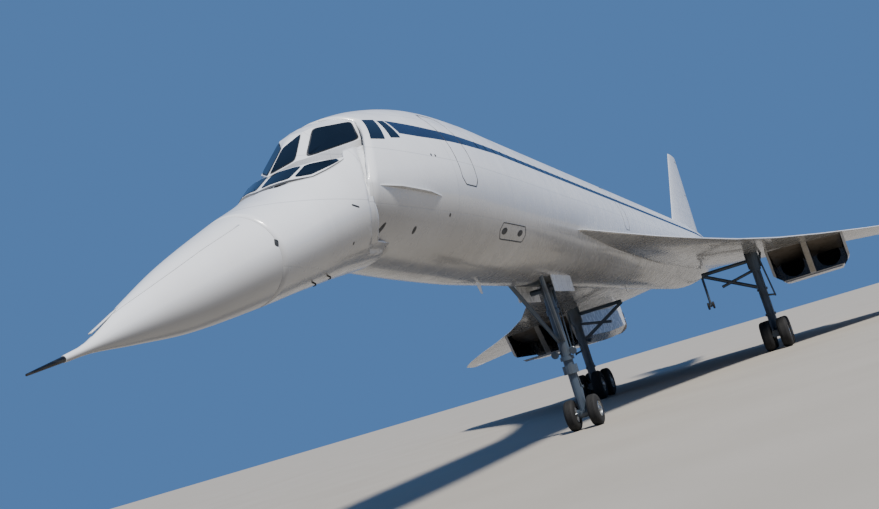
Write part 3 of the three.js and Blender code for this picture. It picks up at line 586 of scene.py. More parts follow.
def painted_skin(name, colour, stripe=None, shade=None):
    """Gloss polyurethane enamel on aluminium sheet: bright, a little uneven, with fine sheet joints."""
    material, shader, place = finish(name, colour, 0.24, Coat_Weight=0.35, Coat_Roughness=0.08)
    x, y, z = apart(place)
    joints = maths("MAXIMUM", line_at(y, SHEET["length"], JOINT), line_at(z, SHEET["depth"], JOINT))
    # Dust and rain leave soft upright streaks about a third of a metre apart
    streak = spread(noise(place, 3.0, 4.0, (1.0, 1.0, 0.25)), 0.35, 0.75)
    paint_tone = blend(product(streak, 0.12), colour, "#c3c2bd")
    # Grime and painted shade: brown-grey where the skin faces down
    paint_tone = blend(underside(place), paint_tone, GRIME_AND_SHADE)
    lined = blend(product(joints, 0.35), paint_tone, "#8d8f90")
    if stripe:
        lined = stripe(y, z, lined)
    if shade:
        lined = shade(x, y, z, lined)
    tint(shader, lined)
    rough = spread(noise(place, 6.0, 2.0), 0.3, 0.7, 0.2, 0.32)
    dull(shader, rough)
    ripple = noise(place, 1.6, 2.0)
    bump(shader, maths("SUBTRACT", ripple, joints), 0.002, 0.35)
    return material


def window_stripe(y, z, under):
    """The dark-blue line along the windows: deep behind the flight deck, then narrowing as it runs aft."""
    start, end, top_end, foot_start, foot_end = (row((0, s, 0))[1] for s in (8.28, 57.0, 9.6, 8.9, 12.8))
    top = spread(y, start, top_end, 6.215 * SCALE, 6.165 * SCALE)
    foot = spread(y, foot_start, foot_end, 5.915 * SCALE, 6.03 * SCALE)
    band = product(maths("LESS_THAN", z, top), maths("GREATER_THAN", z, foot),
                   maths("GREATER_THAN", y, start), maths("LESS_THAN", y, end))
    return blend(band, under, STRIPE_BLUE)


def duct_shade(x, y, z, under):
    """Painted shade of the deep duct walls: dark wherever the skin lies inside the box of an intake."""
    away = maths("ABSOLUTE", x)
    first, second = DUCTS["middles"]
    near = maths("ABSOLUTE", maths("SUBTRACT", away, (first + second) / 2 * SCALE))
    off = maths("ABSOLUTE", maths("SUBTRACT", near, (second - first) / 2 * SCALE))
    inside = product(maths("LESS_THAN", off, DUCTS["half"] * SCALE),
                     maths("GREATER_THAN", z, DUCTS["floor"] * SCALE),
                     maths("LESS_THAN", z, DUCTS["roof"] * SCALE),
                     maths("LESS_THAN", y, row((0, DUCTS["back"], 0))[1]))
    # Painted shade inside the intakes: near black
    return blend(inside, under, "#1b1b1c")


def window_glass(name, colour):
    """Heated laminated glass, almost black as painted shade of the cabin behind it: mirror smooth."""
    material, shader, place = finish(name, colour, 0.04, IOR=1.52, Specular_IOR_Level=0.4)
    depth = spread(noise(place, 1.4, 1.0), 0.3, 0.7)
    # Painted shade of the cabin behind the glass, a little uneven
    tint(shader, blend(depth, colour, "#10161f"))
    return material


def bare_metal(name, colour, roughness):
    """Machined or rolled metal: fine brushed lines in its shine, 17 mm apart and less."""
    material, shader, place = finish(name, colour, roughness, 1.0)
    lines = noise(place, 60.0, 3.0, (1.0, 0.2, 1.0))
    dull(shader, spread(lines, 0.3, 0.7, roughness * 0.8, roughness * 1.35))
    tint(shader, blend(spread(lines, 0.4, 0.9), colour, "#6c6a66"))
    bump(shader, lines, 0.0006, 0.3)
    return material


def gear_paint(name, colour, grime="#3b3a38"):
    """Hard enamel on forged steel: even and half glossy, with grease and dust gathered in patches."""
    material, shader, place = finish(name, colour, 0.42, 0.0, Coat_Weight=0.1)
    patches = spread(noise(place, 5.0, 5.0), 0.5, 0.75)
    tint(shader, blend(product(patches, 0.65), colour, grime))
    dull(shader, spread(patches, 0, 1, 0.36, 0.62))
    bump(shader, noise(place, 40.0, 3.0), 0.0008, 0.3)
    return material


def tyre_rubber(name):
    """Vulcanised rubber: near black, dull, dusty grey where it has rolled on tarmac."""
    material, shader, place = finish(name, "#1d1d1e", 0.85, IOR=1.52)
    dust = spread(noise(place, 4.0, 5.0), 0.45, 0.8)
    tint(shader, blend(product(dust, 0.3), "#131314", "#3f3d39"))
    bump(shader, noise(place, 90.0, 4.0), 0.001, 0.4)
    return material


def seal_rubber(name):
    """Black silicone seal round doors and glass: dark and matt."""
    material, shader, place = finish(name, "#26282a", 0.6, IOR=1.43)
    soft = noise(place, 20.0, 2.0)
    tint(shader, blend(spread(soft, 0.4, 0.8), "#222426", "#3a3c3e"))
    return material


def duct_dark(name):
    """Painted duct walls, near black as painted shade deep inside them, with soot in patches."""
    material, shader, place = finish(name, "#2b2b2c", 0.7)
    soot = spread(noise(place, 2.5, 4.0), 0.35, 0.75)
    # Painted shade of the deep ducts, uneven with soot in patches
    tint(shader, blend(soot, "#343536", "#141415"))
    return material


def heat_metal(name):
    """Nickel alloy that heat has coloured straw, brown and blue in bands along the stream."""
    material, shader, place = finish(name, "#5a5048", 0.38, 1.0)
    x, y, z = apart(place)
    band = spread(noise(place, 3.0, 3.0, (1.0, 4.0, 1.0)), 0.3, 0.7)
    straw = blend(band, "#4a443f", "#7c6a55")
    spots = spread(noise(place, 14.0, 3.0), 0.5, 0.8)
    tint(shader, blend(spots, straw, "#3d4150"))
    dull(shader, spread(band, 0, 1, 0.3, 0.5))
    bump(shader, line_at(y, 0.11, 0.003), 0.001, 0.3)
    return material


def make_finishes(looks):
    """Makes each finish once, from the colours that the panel holds."""
    FINISHES.update({
        "striped": painted_skin("fuselage_white_enamel", looks.body_colour, window_stripe),
        "white": painted_skin("wing_white_enamel", looks.body_colour),
        "nose": painted_skin("nose_white_enamel", looks.body_colour),
        "nacelle": painted_skin("nacelle_white_enamel", looks.body_colour, shade=duct_shade),
        "primer": gear_paint("bulkhead_green_primer", "#4a524d", "#262928"),
        "ramp": gear_paint("intake_ramp_enamel", "#6d655c", "#4a443d"),
        # Near black for the shade inside the nose bay
        "dark": gear_paint("bay_painted_shade", "#232625", "#171716"),
        "deck": painted_skin("flight_deck_white_enamel", looks.body_colour),
        # Dark ovals: real ports and lenses, and painted shade in recesses and the nose's slot
        "marks": seal_rubber("ports_dark_and_recess_shade"),
        "radome": radome_paint("radome_white_enamel", looks.body_colour),
        "glass": window_glass("windscreen_glass", looks.glass_colour),
        "gear": gear_paint("gear_blue_grey_enamel", looks.gear_colour),
        "alloy": bare_metal("wheel_aluminium_alloy", "#a9adb0", 0.35),
        "steel": bare_metal("lip_titanium", "#8d8a86", 0.34),
        "tyre": tyre_rubber("tyre_rubber"),
        "seal": seal_rubber("seal_silicone_rubber"),
        "duct": duct_dark("duct_shade_and_soot"),
        "hot": heat_metal("nozzle_nickel_alloy"),
        "probe": bare_metal("probe_black_steel", "#3a3a3b", 0.4),
    })


def radome_paint(name, colour):
    """Rain-erosion paint on glass fibre: no sheet joints, a little duller and yellower than the metal."""
    material, shader, place = finish(name, colour, 0.3, Coat_Weight=0.25, Coat_Roughness=0.12)
    soft = spread(noise(place, 1.2, 3.0), 0.35, 0.7)
    paint_tone = blend(product(soft, 0.3), colour, "#cfccc4")
    # Grime and painted shade: brown-grey where the skin faces down
    tint(shader, blend(underside(place), paint_tone, GRIME_AND_SHADE))
    bump(shader, noise(place, 3.0, 2.0), 0.001, 0.3)
    return material


# Skins
def front_edge(z):
    """Station of the body's front edge at height z: aft underneath, furthest forward low on the side, and
    aft again above it."""
    return np.interp(z, [4.06, 4.11, 4.2, 4.33, 4.57, 4.92, 5.26, 5.5, 5.68, 6.16, 6.36],
                     [7.62, 7.55, 6.84, 6.66, 6.5, 6.52, 6.7, 6.9, 7.06, 7.56, 7.4])


def nose_aft_edge(z):
    """Station of the nose skin's aft edge at height z, level nose: its lip reaches aft under the body."""
    return np.interp(z, [4.06, 4.18, 4.2, 4.28, 4.457, 4.61, 4.88, 5.22, 5.5, 5.7, 5.85],
                     [7.49, 7.57, 7.4, 6.97, 6.8, 6.76, 6.68, 6.78, 7.05, 7.27, 7.4])


def tuck(s, z):
    """How far the nose skin draws in where it would meet the body's skin with the nose level."""
    t = np.clip((s - (front_edge(z) - 0.12)) / 0.1, 0, 1)
    return 0.06 * t * t * (3 - 2 * t)


def sill_angle(s):
    """Angle on the section where the nose's opening begins: straight up until the opening starts."""
    half, belly, waist, crown = section(s)
    sill = np.interp(s, [5.25, 5.5, 5.8, 6.15, 6.4, 6.6, 6.76, 7.28],
                     [5.53, 5.54, 5.51, 5.545, 5.585, 5.63, 5.76, 5.8])
    open_by = np.arcsin(np.clip((sill - waist) / (crown - waist), -1, 1))
    share = np.clip((np.asarray(s) - 5.2) / 0.12, 0, 1)
    return math.pi / 2 + (open_by - math.pi / 2) * share


def fuselage_skin():
    """The body from nose joint to tail cone: rings of two half ellipses, the first bent to the joint."""
    angle = -once_round(160)
    first = np.full(len(angle), JOINT_GUESS)
    for _ in range(SETTLE_ROUNDS):
        first = front_edge(body_point(first, angle)[..., 2])
    ease = np.linspace(0, 1, 30)[:, None]
    front = first[None] * (1 - ease) + PARALLEL[0] * ease
    back = np.concatenate([np.linspace(*PARALLEL, 15)[1:], np.linspace(PARALLEL[1], TAIL_TIP, 60)[1:]])
    s = np.concatenate([front, np.repeat(back[:, None], len(angle), 1)])
    return surface(body_point(s, np.broadcast_to(angle, s.shape)), wrap_columns=True)


def nose_skin():
    """The drooping nose aft of the radome: rings open at the top behind the sill, bent to the aft edge."""
    steps = 129
    share = np.linspace(0, 1, steps)
    rows = np.concatenate([np.linspace(4.06, 5.2, 9), np.linspace(5.24, 5.4, 5), np.linspace(5.5, 6.1, 7)])
    s = np.repeat(rows[:, None], steps, 1)
    last = np.full(steps, JOINT_GUESS)
    for _ in range(SETTLE_ROUNDS):
        top = sill_angle(last)
        last = nose_aft_edge(body_point(last, top - share * (math.pi + 2 * top))[..., 2])
    t = np.linspace(0, 1, 16)[1:, None]
    s = np.concatenate([s, 6.1 + (last - 6.1) * t])
    top = sill_angle(s)
    angle = top - share * (math.pi + 2 * top)
    height = body_point(s, angle)[..., 2]
    return surface(drooped(body_point(s, angle, tuck(s, height))))


def radome_skin():
    """The nose cone ahead of the nose seam, closed at its tip and its back."""
    angle = once_round(96)
    s = np.concatenate([[0.52, 0.56, 0.64, 0.76], np.linspace(0.9, 4.047, 40)])
    return closed_tube(drooped(body_point(s[:, None], angle[None])))


def rib_values(x):
    """Leading edge, trailing edge, height of the lead and thickness at distance x from the centre line."""
    return [np.interp(x, RIBS[:, 0], RIBS[:, k]) for k in (1, 2, 3, 4)]


def aerofoil(lead, trail, cut, thick, fullness, steps):
    """Stations from the leading edge back to the cut, close together at both ends, and half thicknesses."""
    s = lead + (cut - lead) * (1 - np.cos(np.linspace(0, math.pi, steps))) / 2
    chord = (s - lead) / (trail - lead)
    half = np.maximum(TRAIL_THICK / 2, thick / 2 * (4 * chord * (1 - chord)) ** fullness)
    half[0] = 0
    return s, half


def stretches(start, bays, end):
    """(low, high, whether it is a bay) for each stretch from start to end, the bays' gaps counted in."""
    marks = [start]
    for low, high in bays:
        marks += [low - BAY_GAP, high + BAY_GAP]
    marks.append(end)
    return [(low, high, k % 2 == 1) for k, (low, high) in enumerate(zip(marks[:-1], marks[1:]))]


def wing_ring(x, cut):
    """One closed outline of the wing at x, from the leading edge back to the cut and forward again below."""
    lead, trail, z_lead, thick = rib_values(x)
    s, half = aerofoil(lead, trail, min(cut, trail), thick, 0.8, 28)
    ahead = np.maximum(0, HINGE_LINE[0] - 0.3 - s) / max(0.1, HINGE_LINE[0] - 0.3 - lead)
    hinge = HINGE_LINE[1] - DIP["slope"] * max(0.0, x - DIP["from"])
    z = hinge + (z_lead - hinge) * ahead ** 1.5
    return np.concatenate([xyz(x, s, z + half), xyz(x, s, z - half)[:0:-1]])


def wing_skin():
    """The left wing: outlines across the span, each cut at the hinge line inside an elevon bay."""
    rings = []
    for near, far, in_bay in stretches(WING_ROOT, ELEVON_BAYS, WING_TIP):
        cut = HINGE_LINE[0] - BAY_DEPTH if in_bay else TAIL_TIP
        rings += [wing_ring(x, cut) for x in np.linspace(near, far, max(3, int((far - near) / RIB_STEP)))]
    return closed_tube(rings)


def fin_values(z):
    """Leading edge, trailing edge, rudder axis and thickness at height z."""
    t = (z - FIN["root_z"]) / (FIN["tip_z"] - FIN["root_z"])
    names = ("lead", "trail", "axis", "thick")
    return [FIN["root_" + k] + t * (FIN["tip_" + k] - FIN["root_" + k]) for k in names]


def fin_ring(z, in_bay):
    """One closed outline of the fin at height z, cut at the rudder's axis inside a rudder bay."""
    lead, trail, axis, thick = fin_values(z)
    s, half = aerofoil(lead, trail, axis - thick * 0.45 if in_bay else trail, thick, 0.6, 24)
    return np.concatenate([xyz(half, s, z), xyz(-half, s, z)[:0:-1]])


def fin_skin():
    """The fin: outlines up its height, cut at the axis inside the two rudder bays."""
    spans = stretches(FIN["foot_z"], RUDDER_BAYS, FIN["tip_z"])
    rings = [fin_ring(z, in_bay) for low, high, in_bay in spans for z in np.linspace(low, high, 5)]
    return closed_tube(rings)


# Flight deck, visor and what stands behind them
def flight_deck_shell():
    """The flight deck's block from its foot over the roof, both sides of the centre line."""
    u = np.linspace(0, 4, 33)[None, :]
    v = np.linspace(0, 4, 21)[:, None]
    return both(surface(net(DECK, u, v)))


def deck_plates(grow, sink, lift):
    """Rounded plates over the windscreen's spans, grown and lifted as asked: its panes or their seals."""
    return joined([both(net_plate(DECK, spans, grow, sink, lift)) for spans in DECK_PANES])


def visor_band():
    """The visor's frame, straight from its lower edge to its upper one."""
    return both(surface(drooped(net(VISOR, np.linspace(0, 7, 57)[None, :], np.linspace(0, 1, 9)[:, None]))))


def visor_plates():
    """The visor's glass, two panes to a side, standing just proud of the frame."""
    level = [both(net_plate(VISOR, spans, 0.0, 0.02, 0.008, count=96)) for spans in VISOR_PANES]
    return joined([(drooped(points), faces) for points, faces in level])


def visor_arms():
    """Two arms from the visor's pins up to its lower edge."""
    s, z = VISOR_HINGE
    return both(tube(drooped([(0.2, s, z), (0.2, s + 0.08, z + 0.12), (0.2, s + 0.17, z + 0.26)]), 0.016),
                barrel(drooped((0.2, s, z)), 0.03, 0.045, -0.03, 0.03))


def bulkheads():
    """Plates across the body's open front, above and below the deck's floor, and the floor between them."""
    s = np.linspace(6.8, 7.3, 9)[:, None]
    half = np.maximum(body_x(s, np.full_like(s, 5.05), 0.24), 0.1)
    x = half * np.linspace(-1, 1, 9)[None, :]
    flat = xyz(x, s, 5.05)
    floor = slab(flat, flat - (0, 0, 0.04))
    return joined([bulkhead(6.78, 0.05, 4.4, 5.04, 0.24), bulkhead(7.34, 0.05, 5.07, 5.9, 0.14), floor])


def joint_notch():
    """The primed plate that shows in the notch low in the nose joint, set in behind the skins."""
    def behind(s, z):
        return body_x(s, z, 0.15)
    lower, upper = [(6.95, 4.2), (7.7, 4.2)], [(6.62, 4.4), (7.7, 4.32)]
    return both(body_patch(lower, upper, 0.0, 0.03, (17, 7), behind))


# Windows, doors and small fittings
def side_windows():
    """The small windows behind the flight deck and those along the cabin, a half metre apart."""
    rear = [body_patch([(7.24, 5.71), (7.64, 5.74)], [(7.72, 6.19), (8.0, 6.21)], 0.01, 0.02),
            body_patch([(7.87, 5.79), (8.17, 5.82)], [(8.06, 6.19), (8.22, 6.2)], 0.01, 0.02)]
    stations = np.arange(11.6, 45.0, 0.52)
    cabin = [body_plate(s, 6.1, 0.05, 0.075, 0.005, 0.02, 3.0, count=12) for s in stations]
    return both(*rear, *cabin)


def door_outline(s, half, low, high):
    """A dark seal round a door, in one strip."""
    r, fore, aft = 0.12, s - half, s + half
    path = [(fore, low + r), (fore, high - r), (fore + r, high), (aft - r, high), (aft, high - r),
            (aft, low + r), (aft - r, low), (fore + r, low), (fore, low + r)]
    return body_strip(path, 0.018, 0.004)


def door_outlines():
    """Seals round three doors and two hatches on each side."""
    outlines = ((10.25, 0.36, 5.1, 6.62), (24.6, 0.36, 5.1, 6.62), (44.6, 0.33, 5.2, 6.6),
                (12.8, 0.85, 4.29, 4.57), (46.9, 0.4, 4.5, 5.2))
    return both(*[door_outline(*outline) for outline in outlines])


def dark_fittings():
    """Vents, ports and recesses: dark ovals on the body behind the joint, painted shade in the recesses."""
    ports = [(12.22, 4.43, 0.16, 0.06, 0.1), (13.25, 4.44, 0.16, 0.06, 0.1),
             (8.14, 4.3, 0.05, 0.05, 0), (7.07, 4.28, 0.11, 0.045, 0.9), (9.3, 4.55, 0.03, 0.03, 0),
             (8.9, 5.55, 0.025, 0.025, 0), (9.05, 5.55, 0.025, 0.025, 0)]
    return both(*[body_plate(s, z, a, b, 0.005, 0.02, 2.0, tilt) for s, z, a, b, tilt in ports])


def nose_fittings():
    """The slot and the recess on the nose's side in painted shade, and a small vent low down ahead of its
    joint.
    """
    return both(body_plate(6.03, 4.93, 0.09, 0.014, 0.004, 0.02, 4.0, -0.4, nose=True),
                body_plate(4.04, 4.83, 0.035, 0.05, 0.004, 0.02, 4.0, -0.6, nose=True),
                body_plate(5.9, 4.45, 0.02, 0.02, 0.004, 0.02, 2.0, nose=True))


def radome_strips():
    """Thin painted strips along the nose cone that lead lightning aft."""
    top = [(1.0, 4.63), (1.55, 4.771), (2.19, 4.901), (2.99, 5.058), (3.84, 5.197)]
    return both(body_strip(top, 0.012, 0.003, True))


def nose_pins():
    """Two short air-data pins under the nose, each side."""
    pins = []
    for s, z in ((5.6, 4.17), (5.2, 4.17)):
        foot = (float(body_x(np.array(s), np.array(z))), s, z)
        path = np.array([(-0.02, 0, 0), (0.025, 0, -0.04), (0.03, -0.03, -0.055), (0.03, -0.1, -0.055)])
        pins.append(tube(drooped(path + foot), [0.014, 0.012, 0.01, 0.006]))
    return both(*pins)


def strakes():
    """Thin shelves low on the body's sides, growing to a hand's width and fading into the skin aft."""
    s = np.linspace(6.75, 8.98, 33)[:, None]
    level = 4.875 - 0.02 * (s - 6.75)
    fade = np.minimum(1, np.minimum((s - 6.72) / 0.6, (9.0 - s) / 0.7))
    reach = 0.1 * fade * np.linspace(0, 1, 5)[None, :]
    x = body_x(s, level) - 0.015 + reach
    top = xyz(x, s, level + 0.012)
    return both(slab(top, top - (0, 0, 0.024)))


def aerials():
    """Two blade aerials above the body and two below: an oval that shrinks and leans aft to its end."""
    blades = []
    t = once_round(24)
    places = ((12.6, 7.06, 0.3, 0.34), (26.0, 7.06, 0.26, 0.3),
              (13.2, 3.77, -0.26, 0.3), (29.0, 3.77, -0.24, 0.3))
    for s, z, height, chord in places:
        rings = []
        for share in (0.0, 0.5, 0.92, 1.0):
            long = chord * (1 - 0.55 * share) / 2 * (0.8 if share == 1.0 else 1.0)
            level = z + height * share - math.copysign(0.04, height) * (share == 0)
            rings.append(xyz(0.018 * (1 - 0.5 * share) * np.sin(t),
                             s + 0.3 * chord * share + long * np.cos(t), level))
        blades.append(closed_tube(rings))
    return joined(blades)


# Gear and nacelles
def tyre(centre, size, side):
    """A tyre with round shoulders and four grooves round its tread."""
    middle = np.asarray(centre, float) + (side * size["at"], 0, 0)
    w, r, bore = size["width"] / 2, size["r"], size["hub"]
    t = np.linspace(math.pi * 1.04, -math.pi * 0.04, 30)
    along = w * np.sign(np.cos(t)) * np.abs(np.cos(t)) ** 0.62
    out = bore + 0.012 + (r - bore - 0.012) * np.maximum(np.sin(t), 0.0) ** 0.45
    groove = ((-0.03, 0.0), (-0.02, 0.016), (0.02, 0.016), (0.03, 0.0))
    tread = np.array([((f + e) * w, r - d) for f in (-0.45, -0.16, 0.16, 0.45) for e, d in groove])
    outline = np.stack([along, out], -1)
    profile = np.concatenate([outline[outline[:, 0] < -0.5 * w], tread, outline[outline[:, 0] > 0.5 * w]])
    seat = [(w * 0.7, bore + 0.004), (-w * 0.7, bore + 0.004)]
    return turned_ring(np.concatenate([profile, seat]), middle, 72)


def hub_fittings(centre, size):
    """Rim flanges, ten bolts and a domed cap on the outer side of both wheels."""
    parts = []
    for side in (-1, 1):
        face = np.asarray(centre, float) + (side * (size["at"] + size["width"] * 0.36), 0, 0)
        axis = (side, 0, 0)
        hub = size["hub"]
        cap = [(0.0, hub * 0.42), (0.03, hub * 0.4), (0.05, hub * 0.28), (0.058, hub * 0.1)]
        rim = [(0.001, 0.82), (0.03, 0.86), (0.04, 0.93), (0.03, 0.985), (0.001, 0.985)]
        parts.append(lathe(cap, face, axis, 28))
        parts.append(turned_ring([(side * d, hub * r) for d, r in rim], face, 48))
        for angle in once_round(10):
            bolt = face + hub * 0.62 * np.array([0, math.cos(angle), math.sin(angle)])
            parts.append(lathe([(0.0, hub * 0.07), (0.02, hub * 0.07), (0.024, hub * 0.05)], bolt, axis, 6))
    return joined(parts)


def nose_leg_fittings():
    """Two collars, hoses and a pair of lamps on the part of the nose leg that does not steer."""
    s = NOSE_LEG
    sleeve = lathe([(0, 0.14), (0, 0.165), (0.12, 0.165), (0.14, 0.14)], (0, s, 2.95), (0, 0, 1), 32)
    band = barrel((0, s, 1.75), 0.14, 0.18, 0, 0.1, (0, 0, 1))
    route = [(0.14, s + 0.1, 3.6), (0.17, s + 0.12, 3.0), (0.15, s + 0.15, 2.4), (0.16, s + 0.1, 1.85)]
    hose = tube(route, 0.014)
    bowl = [(-0.1, 0.04), (-0.05, 0.085), (0.0, 0.1), (0.012, 0.09)]
    lamp = lathe(bowl, (0.24, s - 0.16, 1.95), (0, -1, -0.25), 28)
    arm = tube([(0.1, s - 0.03, 1.95), (0.24, s - 0.08, 1.95)], 0.02)
    return joined([sleeve, band, both(hose, lamp, arm)])


def steering_fittings():
    """Torque links behind the nose wheels' fork, and a tow fitting ahead of it."""
    s = NOSE_LEG
    upper, bend, lower = (0.07, s + 0.12, 1.5), (0.03, s + 0.42, 1.02), (0.07, s + 0.1, 0.56)
    links = [beam(upper, bend, 0.035, 0.06), beam(bend, lower, 0.035, 0.06)]
    knee = barrel((0, s + 0.42, 1.02), 0.0, 0.035, -0.08, 0.08, sides=20)
    tow = beam((0.05, s - 0.1, 0.46), (0.05, s - 0.3, 0.44), 0.02, 0.06)
    return joined([both(*links, tow), knee])


def main_leg_fittings():
    """Collars, hoses and links on the leg, and brake rods over the truck beam: the left leg's."""
    x, s = MAIN_LEG
    collars = [barrel((x, s, z), 0.16, 0.215, 0, 0.1, (0, 0, 1)) for z in (1.35, 2.4, 3.25)]
    hoses = [tube([(x + side * 0.12, s - 0.17, 3.4), (x + bulge, s - 0.2, mid),
                   (x + side * 0.12, s - 0.19, 1.2), (x + side * 0.1, s - 0.3, 0.85)], 0.016)
             for side, bulge, mid in ((1, 0.14, 2.4), (-1, -0.15, 2.2))]
    rods = [tube([(x + k, s - 0.75, 0.86), (x + k, s + 0.75, 0.86)], 0.022) for k in (-0.07, 0.07)]
    knee = (x, s + 0.6, 1.5)
    links = [beam((x, s + 0.2, 2.1), knee, 0.09, 0.05), beam(knee, (x, s + 0.2, 0.9), 0.09, 0.05)]
    return joined(collars + hoses + rods + links)


def intake_lips():
    """Bare-metal lip along the intakes' floor edge and the plate between them: the left nacelle's."""
    return joined([beam((4.74, 38.19, 2.47), (7.06, 38.19, 2.47), 0.05, 0.05),
                   beam((5.9, 37.36, 3.86), (5.9, 38.18, 2.52), 0.2, 0.03)])


def intake_ramps():
    """The plates that slope down inside the two intakes and narrow them: the left nacelle's."""
    s = np.array([37.45, 38.4, 39.4, 40.4, 41.0])
    z = np.array([3.82, 3.56, 3.36, 3.3, 3.34])
    across = np.linspace(-0.64, 0.64, 5)
    lower = [xyz(middle + across, s[:, None], z[:, None]) for middle in DUCTS["middles"]]
    return joined([slab(face + (0, 0, 0.03), face) for face in lower])


# Settings
def colour_choice(name, description, colour):
    """A colour that a user may change."""
    return bpy.props.FloatVectorProperty(
        name=name, description=description, subtype="COLOR", size=4, default=rgb(colour))


class AirlinerLooks(bpy.types.PropertyGroup):
    """Colours of the airliner's finishes."""
    body_colour: colour_choice("Body colour", "Enamel on the body, wings and fin", "#e6e8ea")
    glass_colour: colour_choice("Glass colour", "Glass of the windscreen, visor and windows", "#070b10")
    gear_colour: colour_choice("Gear colour", "Enamel on the landing gear", "#3d4956")


class AirlinerSizes(bpy.types.PropertyGroup):
    """Sizes that a user would change."""
    skin: bpy.props.FloatProperty(
        name="Skin thickness", description="Wall of the body and nose skins, full size", default=0.05,
        unit="LENGTH")


class PieceOperator:
    """What the operators share: each makes its pieces and is done"""
    bl_options = {"REGISTER", "UNDO"}

    def execute(self, context):
        self.make(context.scene)
        return {"FINISHED"}


class AIRLINER_OT_finishes(PieceOperator, bpy.types.Operator):
    """Makes the finishes and gives them to the CAD nodes that stay"""
    bl_idname = "airliner.finishes"
    bl_label = "Finishes"

    def make(self, scene):
        make_finishes(scene.airliner_looks)
        kept = {"tyre": "tyre", "hubs": "alloy", "bucket": "hot", "nacelle": "nacelle", "engine": "duct",
                "door": "white", "gear": "gear", "probe": "probe", "tail_wheels": "tyre"}
        for name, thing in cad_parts.items():
            key = next((look for part, look in kept.items() if part in name), "white")
            for slot in thing.material_slots:
                slot.material = FINISHES[key]


class AIRLINER_OT_body(PieceOperator, bpy.types.Operator):
    """Makes the smooth skins of the body, the nose and the radome"""
    bl_idname = "airliner.body"
    bl_label = "Body skins"

    def make(self, scene):
        skin = scene.airliner_sizes.skin
        replaced = ("forward_fuselage", "centre_fuselage", "rear_fuselage")
        wall(piece("fuselage_skin", fuselage_skin(), "airframe", "striped", replaces=replaced), skin)
        nose = piece("nose_skin", nose_skin(), "droop_nose", "nose", replaces=("nose_shell",))
        wall(welded(nose), skin)
        crisp("radome_skin", radome_skin(), "droop_nose", "radome", replaces=("radome",))


class AIRLINER_OT_wings(PieceOperator, bpy.types.Operator):
    """Makes the smooth skins of both wings and the fin"""
    bl_idname = "airliner.wings"
    bl_label = "Wing and fin skins"

    def make(self, scene):
        left = wing_skin()
        crisp("wing_skin_left", left, "airframe", "white", replaces=("wing_left",))
        crisp("wing_skin_right", mirrored(left), "airframe", "white", replaces=("wing_right",))
        crisp("fin_skin", fin_skin(), "airframe", "white", replaces=("fin",))


class AIRLINER_OT_flight_deck(PieceOperator, bpy.types.Operator):
    """Makes the flight deck, its glass and the plates behind the nose joint"""
    bl_idname = "airliner.flight_deck"
    bl_label = "Flight deck"

    def make(self, scene):
        shell = piece("flight_deck_shell", flight_deck_shell(), "airframe", "deck",
                      replaces=("flight_deck",))
        wall(creased(welded(shell), 20.0), 0.02)
        crisp("windscreen_seals", deck_plates(0.028, 0.015, 0.006), "airframe", "seal")
        crisp("windscreen_panes", deck_plates(0.0, 0.015, 0.011), "airframe", "glass", slot="glass")
        crisp("joint_bulkheads", bulkheads(), "airframe", "primer")
        piece("joint_notch", joint_notch(), "airframe", "primer")


class AIRLINER_OT_visor(PieceOperator, bpy.types.Operator):
    """Makes the lowered visor's frame, glass and arms"""
    bl_idname = "airliner.visor"
    bl_label = "Visor"

    def make(self, scene):
        band = piece("visor_frame", visor_band(), "visor", "deck", replaces=("visor",))
        wall(creased(welded(band)), 0.03)
        crisp("visor_panes", visor_plates(), "visor", "glass", slot="glass")
        crisp("visor_arms", visor_arms(), "visor", "gear", slot="gear")


class AIRLINER_OT_fittings(PieceOperator, bpy.types.Operator):
    """Makes the side windows, door seals, ports, strips, strakes and aerials"""
    bl_idname = "airliner.fittings"
    bl_label = "Windows and fittings"

    def make(self, scene):
        crisp("side_windows", side_windows(), "airframe", "glass", slot="glass")
        piece("door_seals", door_outlines(), "airframe", "seal")
        crisp("body_ports", dark_fittings(), "airframe", "marks")
        crisp("body_strakes", strakes(), "airframe", "white")
        crisp("body_aerials", aerials(), "airframe", "white")
        piece("nose_strips", nose_fittings(), "droop_nose", "marks")
        piece("radome_strips", radome_strips(), "droop_nose", "radome")
        crisp("nose_pins", nose_pins(), "droop_nose", "probe", slot="dark")


class AIRLINER_OT_wheels(PieceOperator, bpy.types.Operator):
    """Makes the grooved tyres and the fittings of the hubs"""
    bl_idname = "airliner.wheels"
    bl_label = "Wheels"

    def make(self, scene):
        for name, body, centre, size in AXLES:
            for side, letter in ((-1, "a"), (1, "b")):
                crisp(f"{name}_smooth_tyre_{letter}", tyre(centre, size, side), body, "tyre",
                      replaces=(f"{name}_tyre_{letter}",), slot="tyre")
            crisp(f"{name}_hub_fittings", hub_fittings(centre, size), body, "alloy", slot="steel")


class AIRLINER_OT_gear(PieceOperator, bpy.types.Operator):
    """Makes the fittings of the gear legs, the nose bay's painted shade and the intakes' lips and ramps"""
    bl_idname = "airliner.gear"
    bl_label = "Gear and intake fittings"

    def make(self, scene):
        # A near-black plate over the nose bay's opening: painted shade inside the bay
        crisp("nose_bay", belly_plate(17.0, 19.35, 0.42, 0.006, 0.03), "airframe", "dark")
        crisp("nose_leg_fittings", nose_leg_fittings(), "airframe", "gear", slot="gear")
        crisp("steering_fittings", steering_fittings(), "nose_gear_steering", "gear", slot="gear")
        crisp("main_leg_fittings", both(main_leg_fittings()), "airframe", "gear", slot="gear")
        crisp("intake_ramps", both(intake_ramps()), "airframe", "ramp")
        crisp("intake_lips", both(intake_lips()), "airframe", "steel", slot="steel")


class AIRLINER_OT_stage(PieceOperator, bpy.types.Operator):
    """Makes the floor, the lights and the camera"""
    bl_idname = "airliner.stage"
    bl_label = "Stage"

    def make(self, scene):
        floor_and_lights()
        camera()


# Stage
CAMERA = {"at": (6.645, -7.085, 1.455), "yaw": 19.7215, "pitch": 8.227, "roll": -16.4354, "focal": 1033.8}
IMAGE_WIDTH = 879


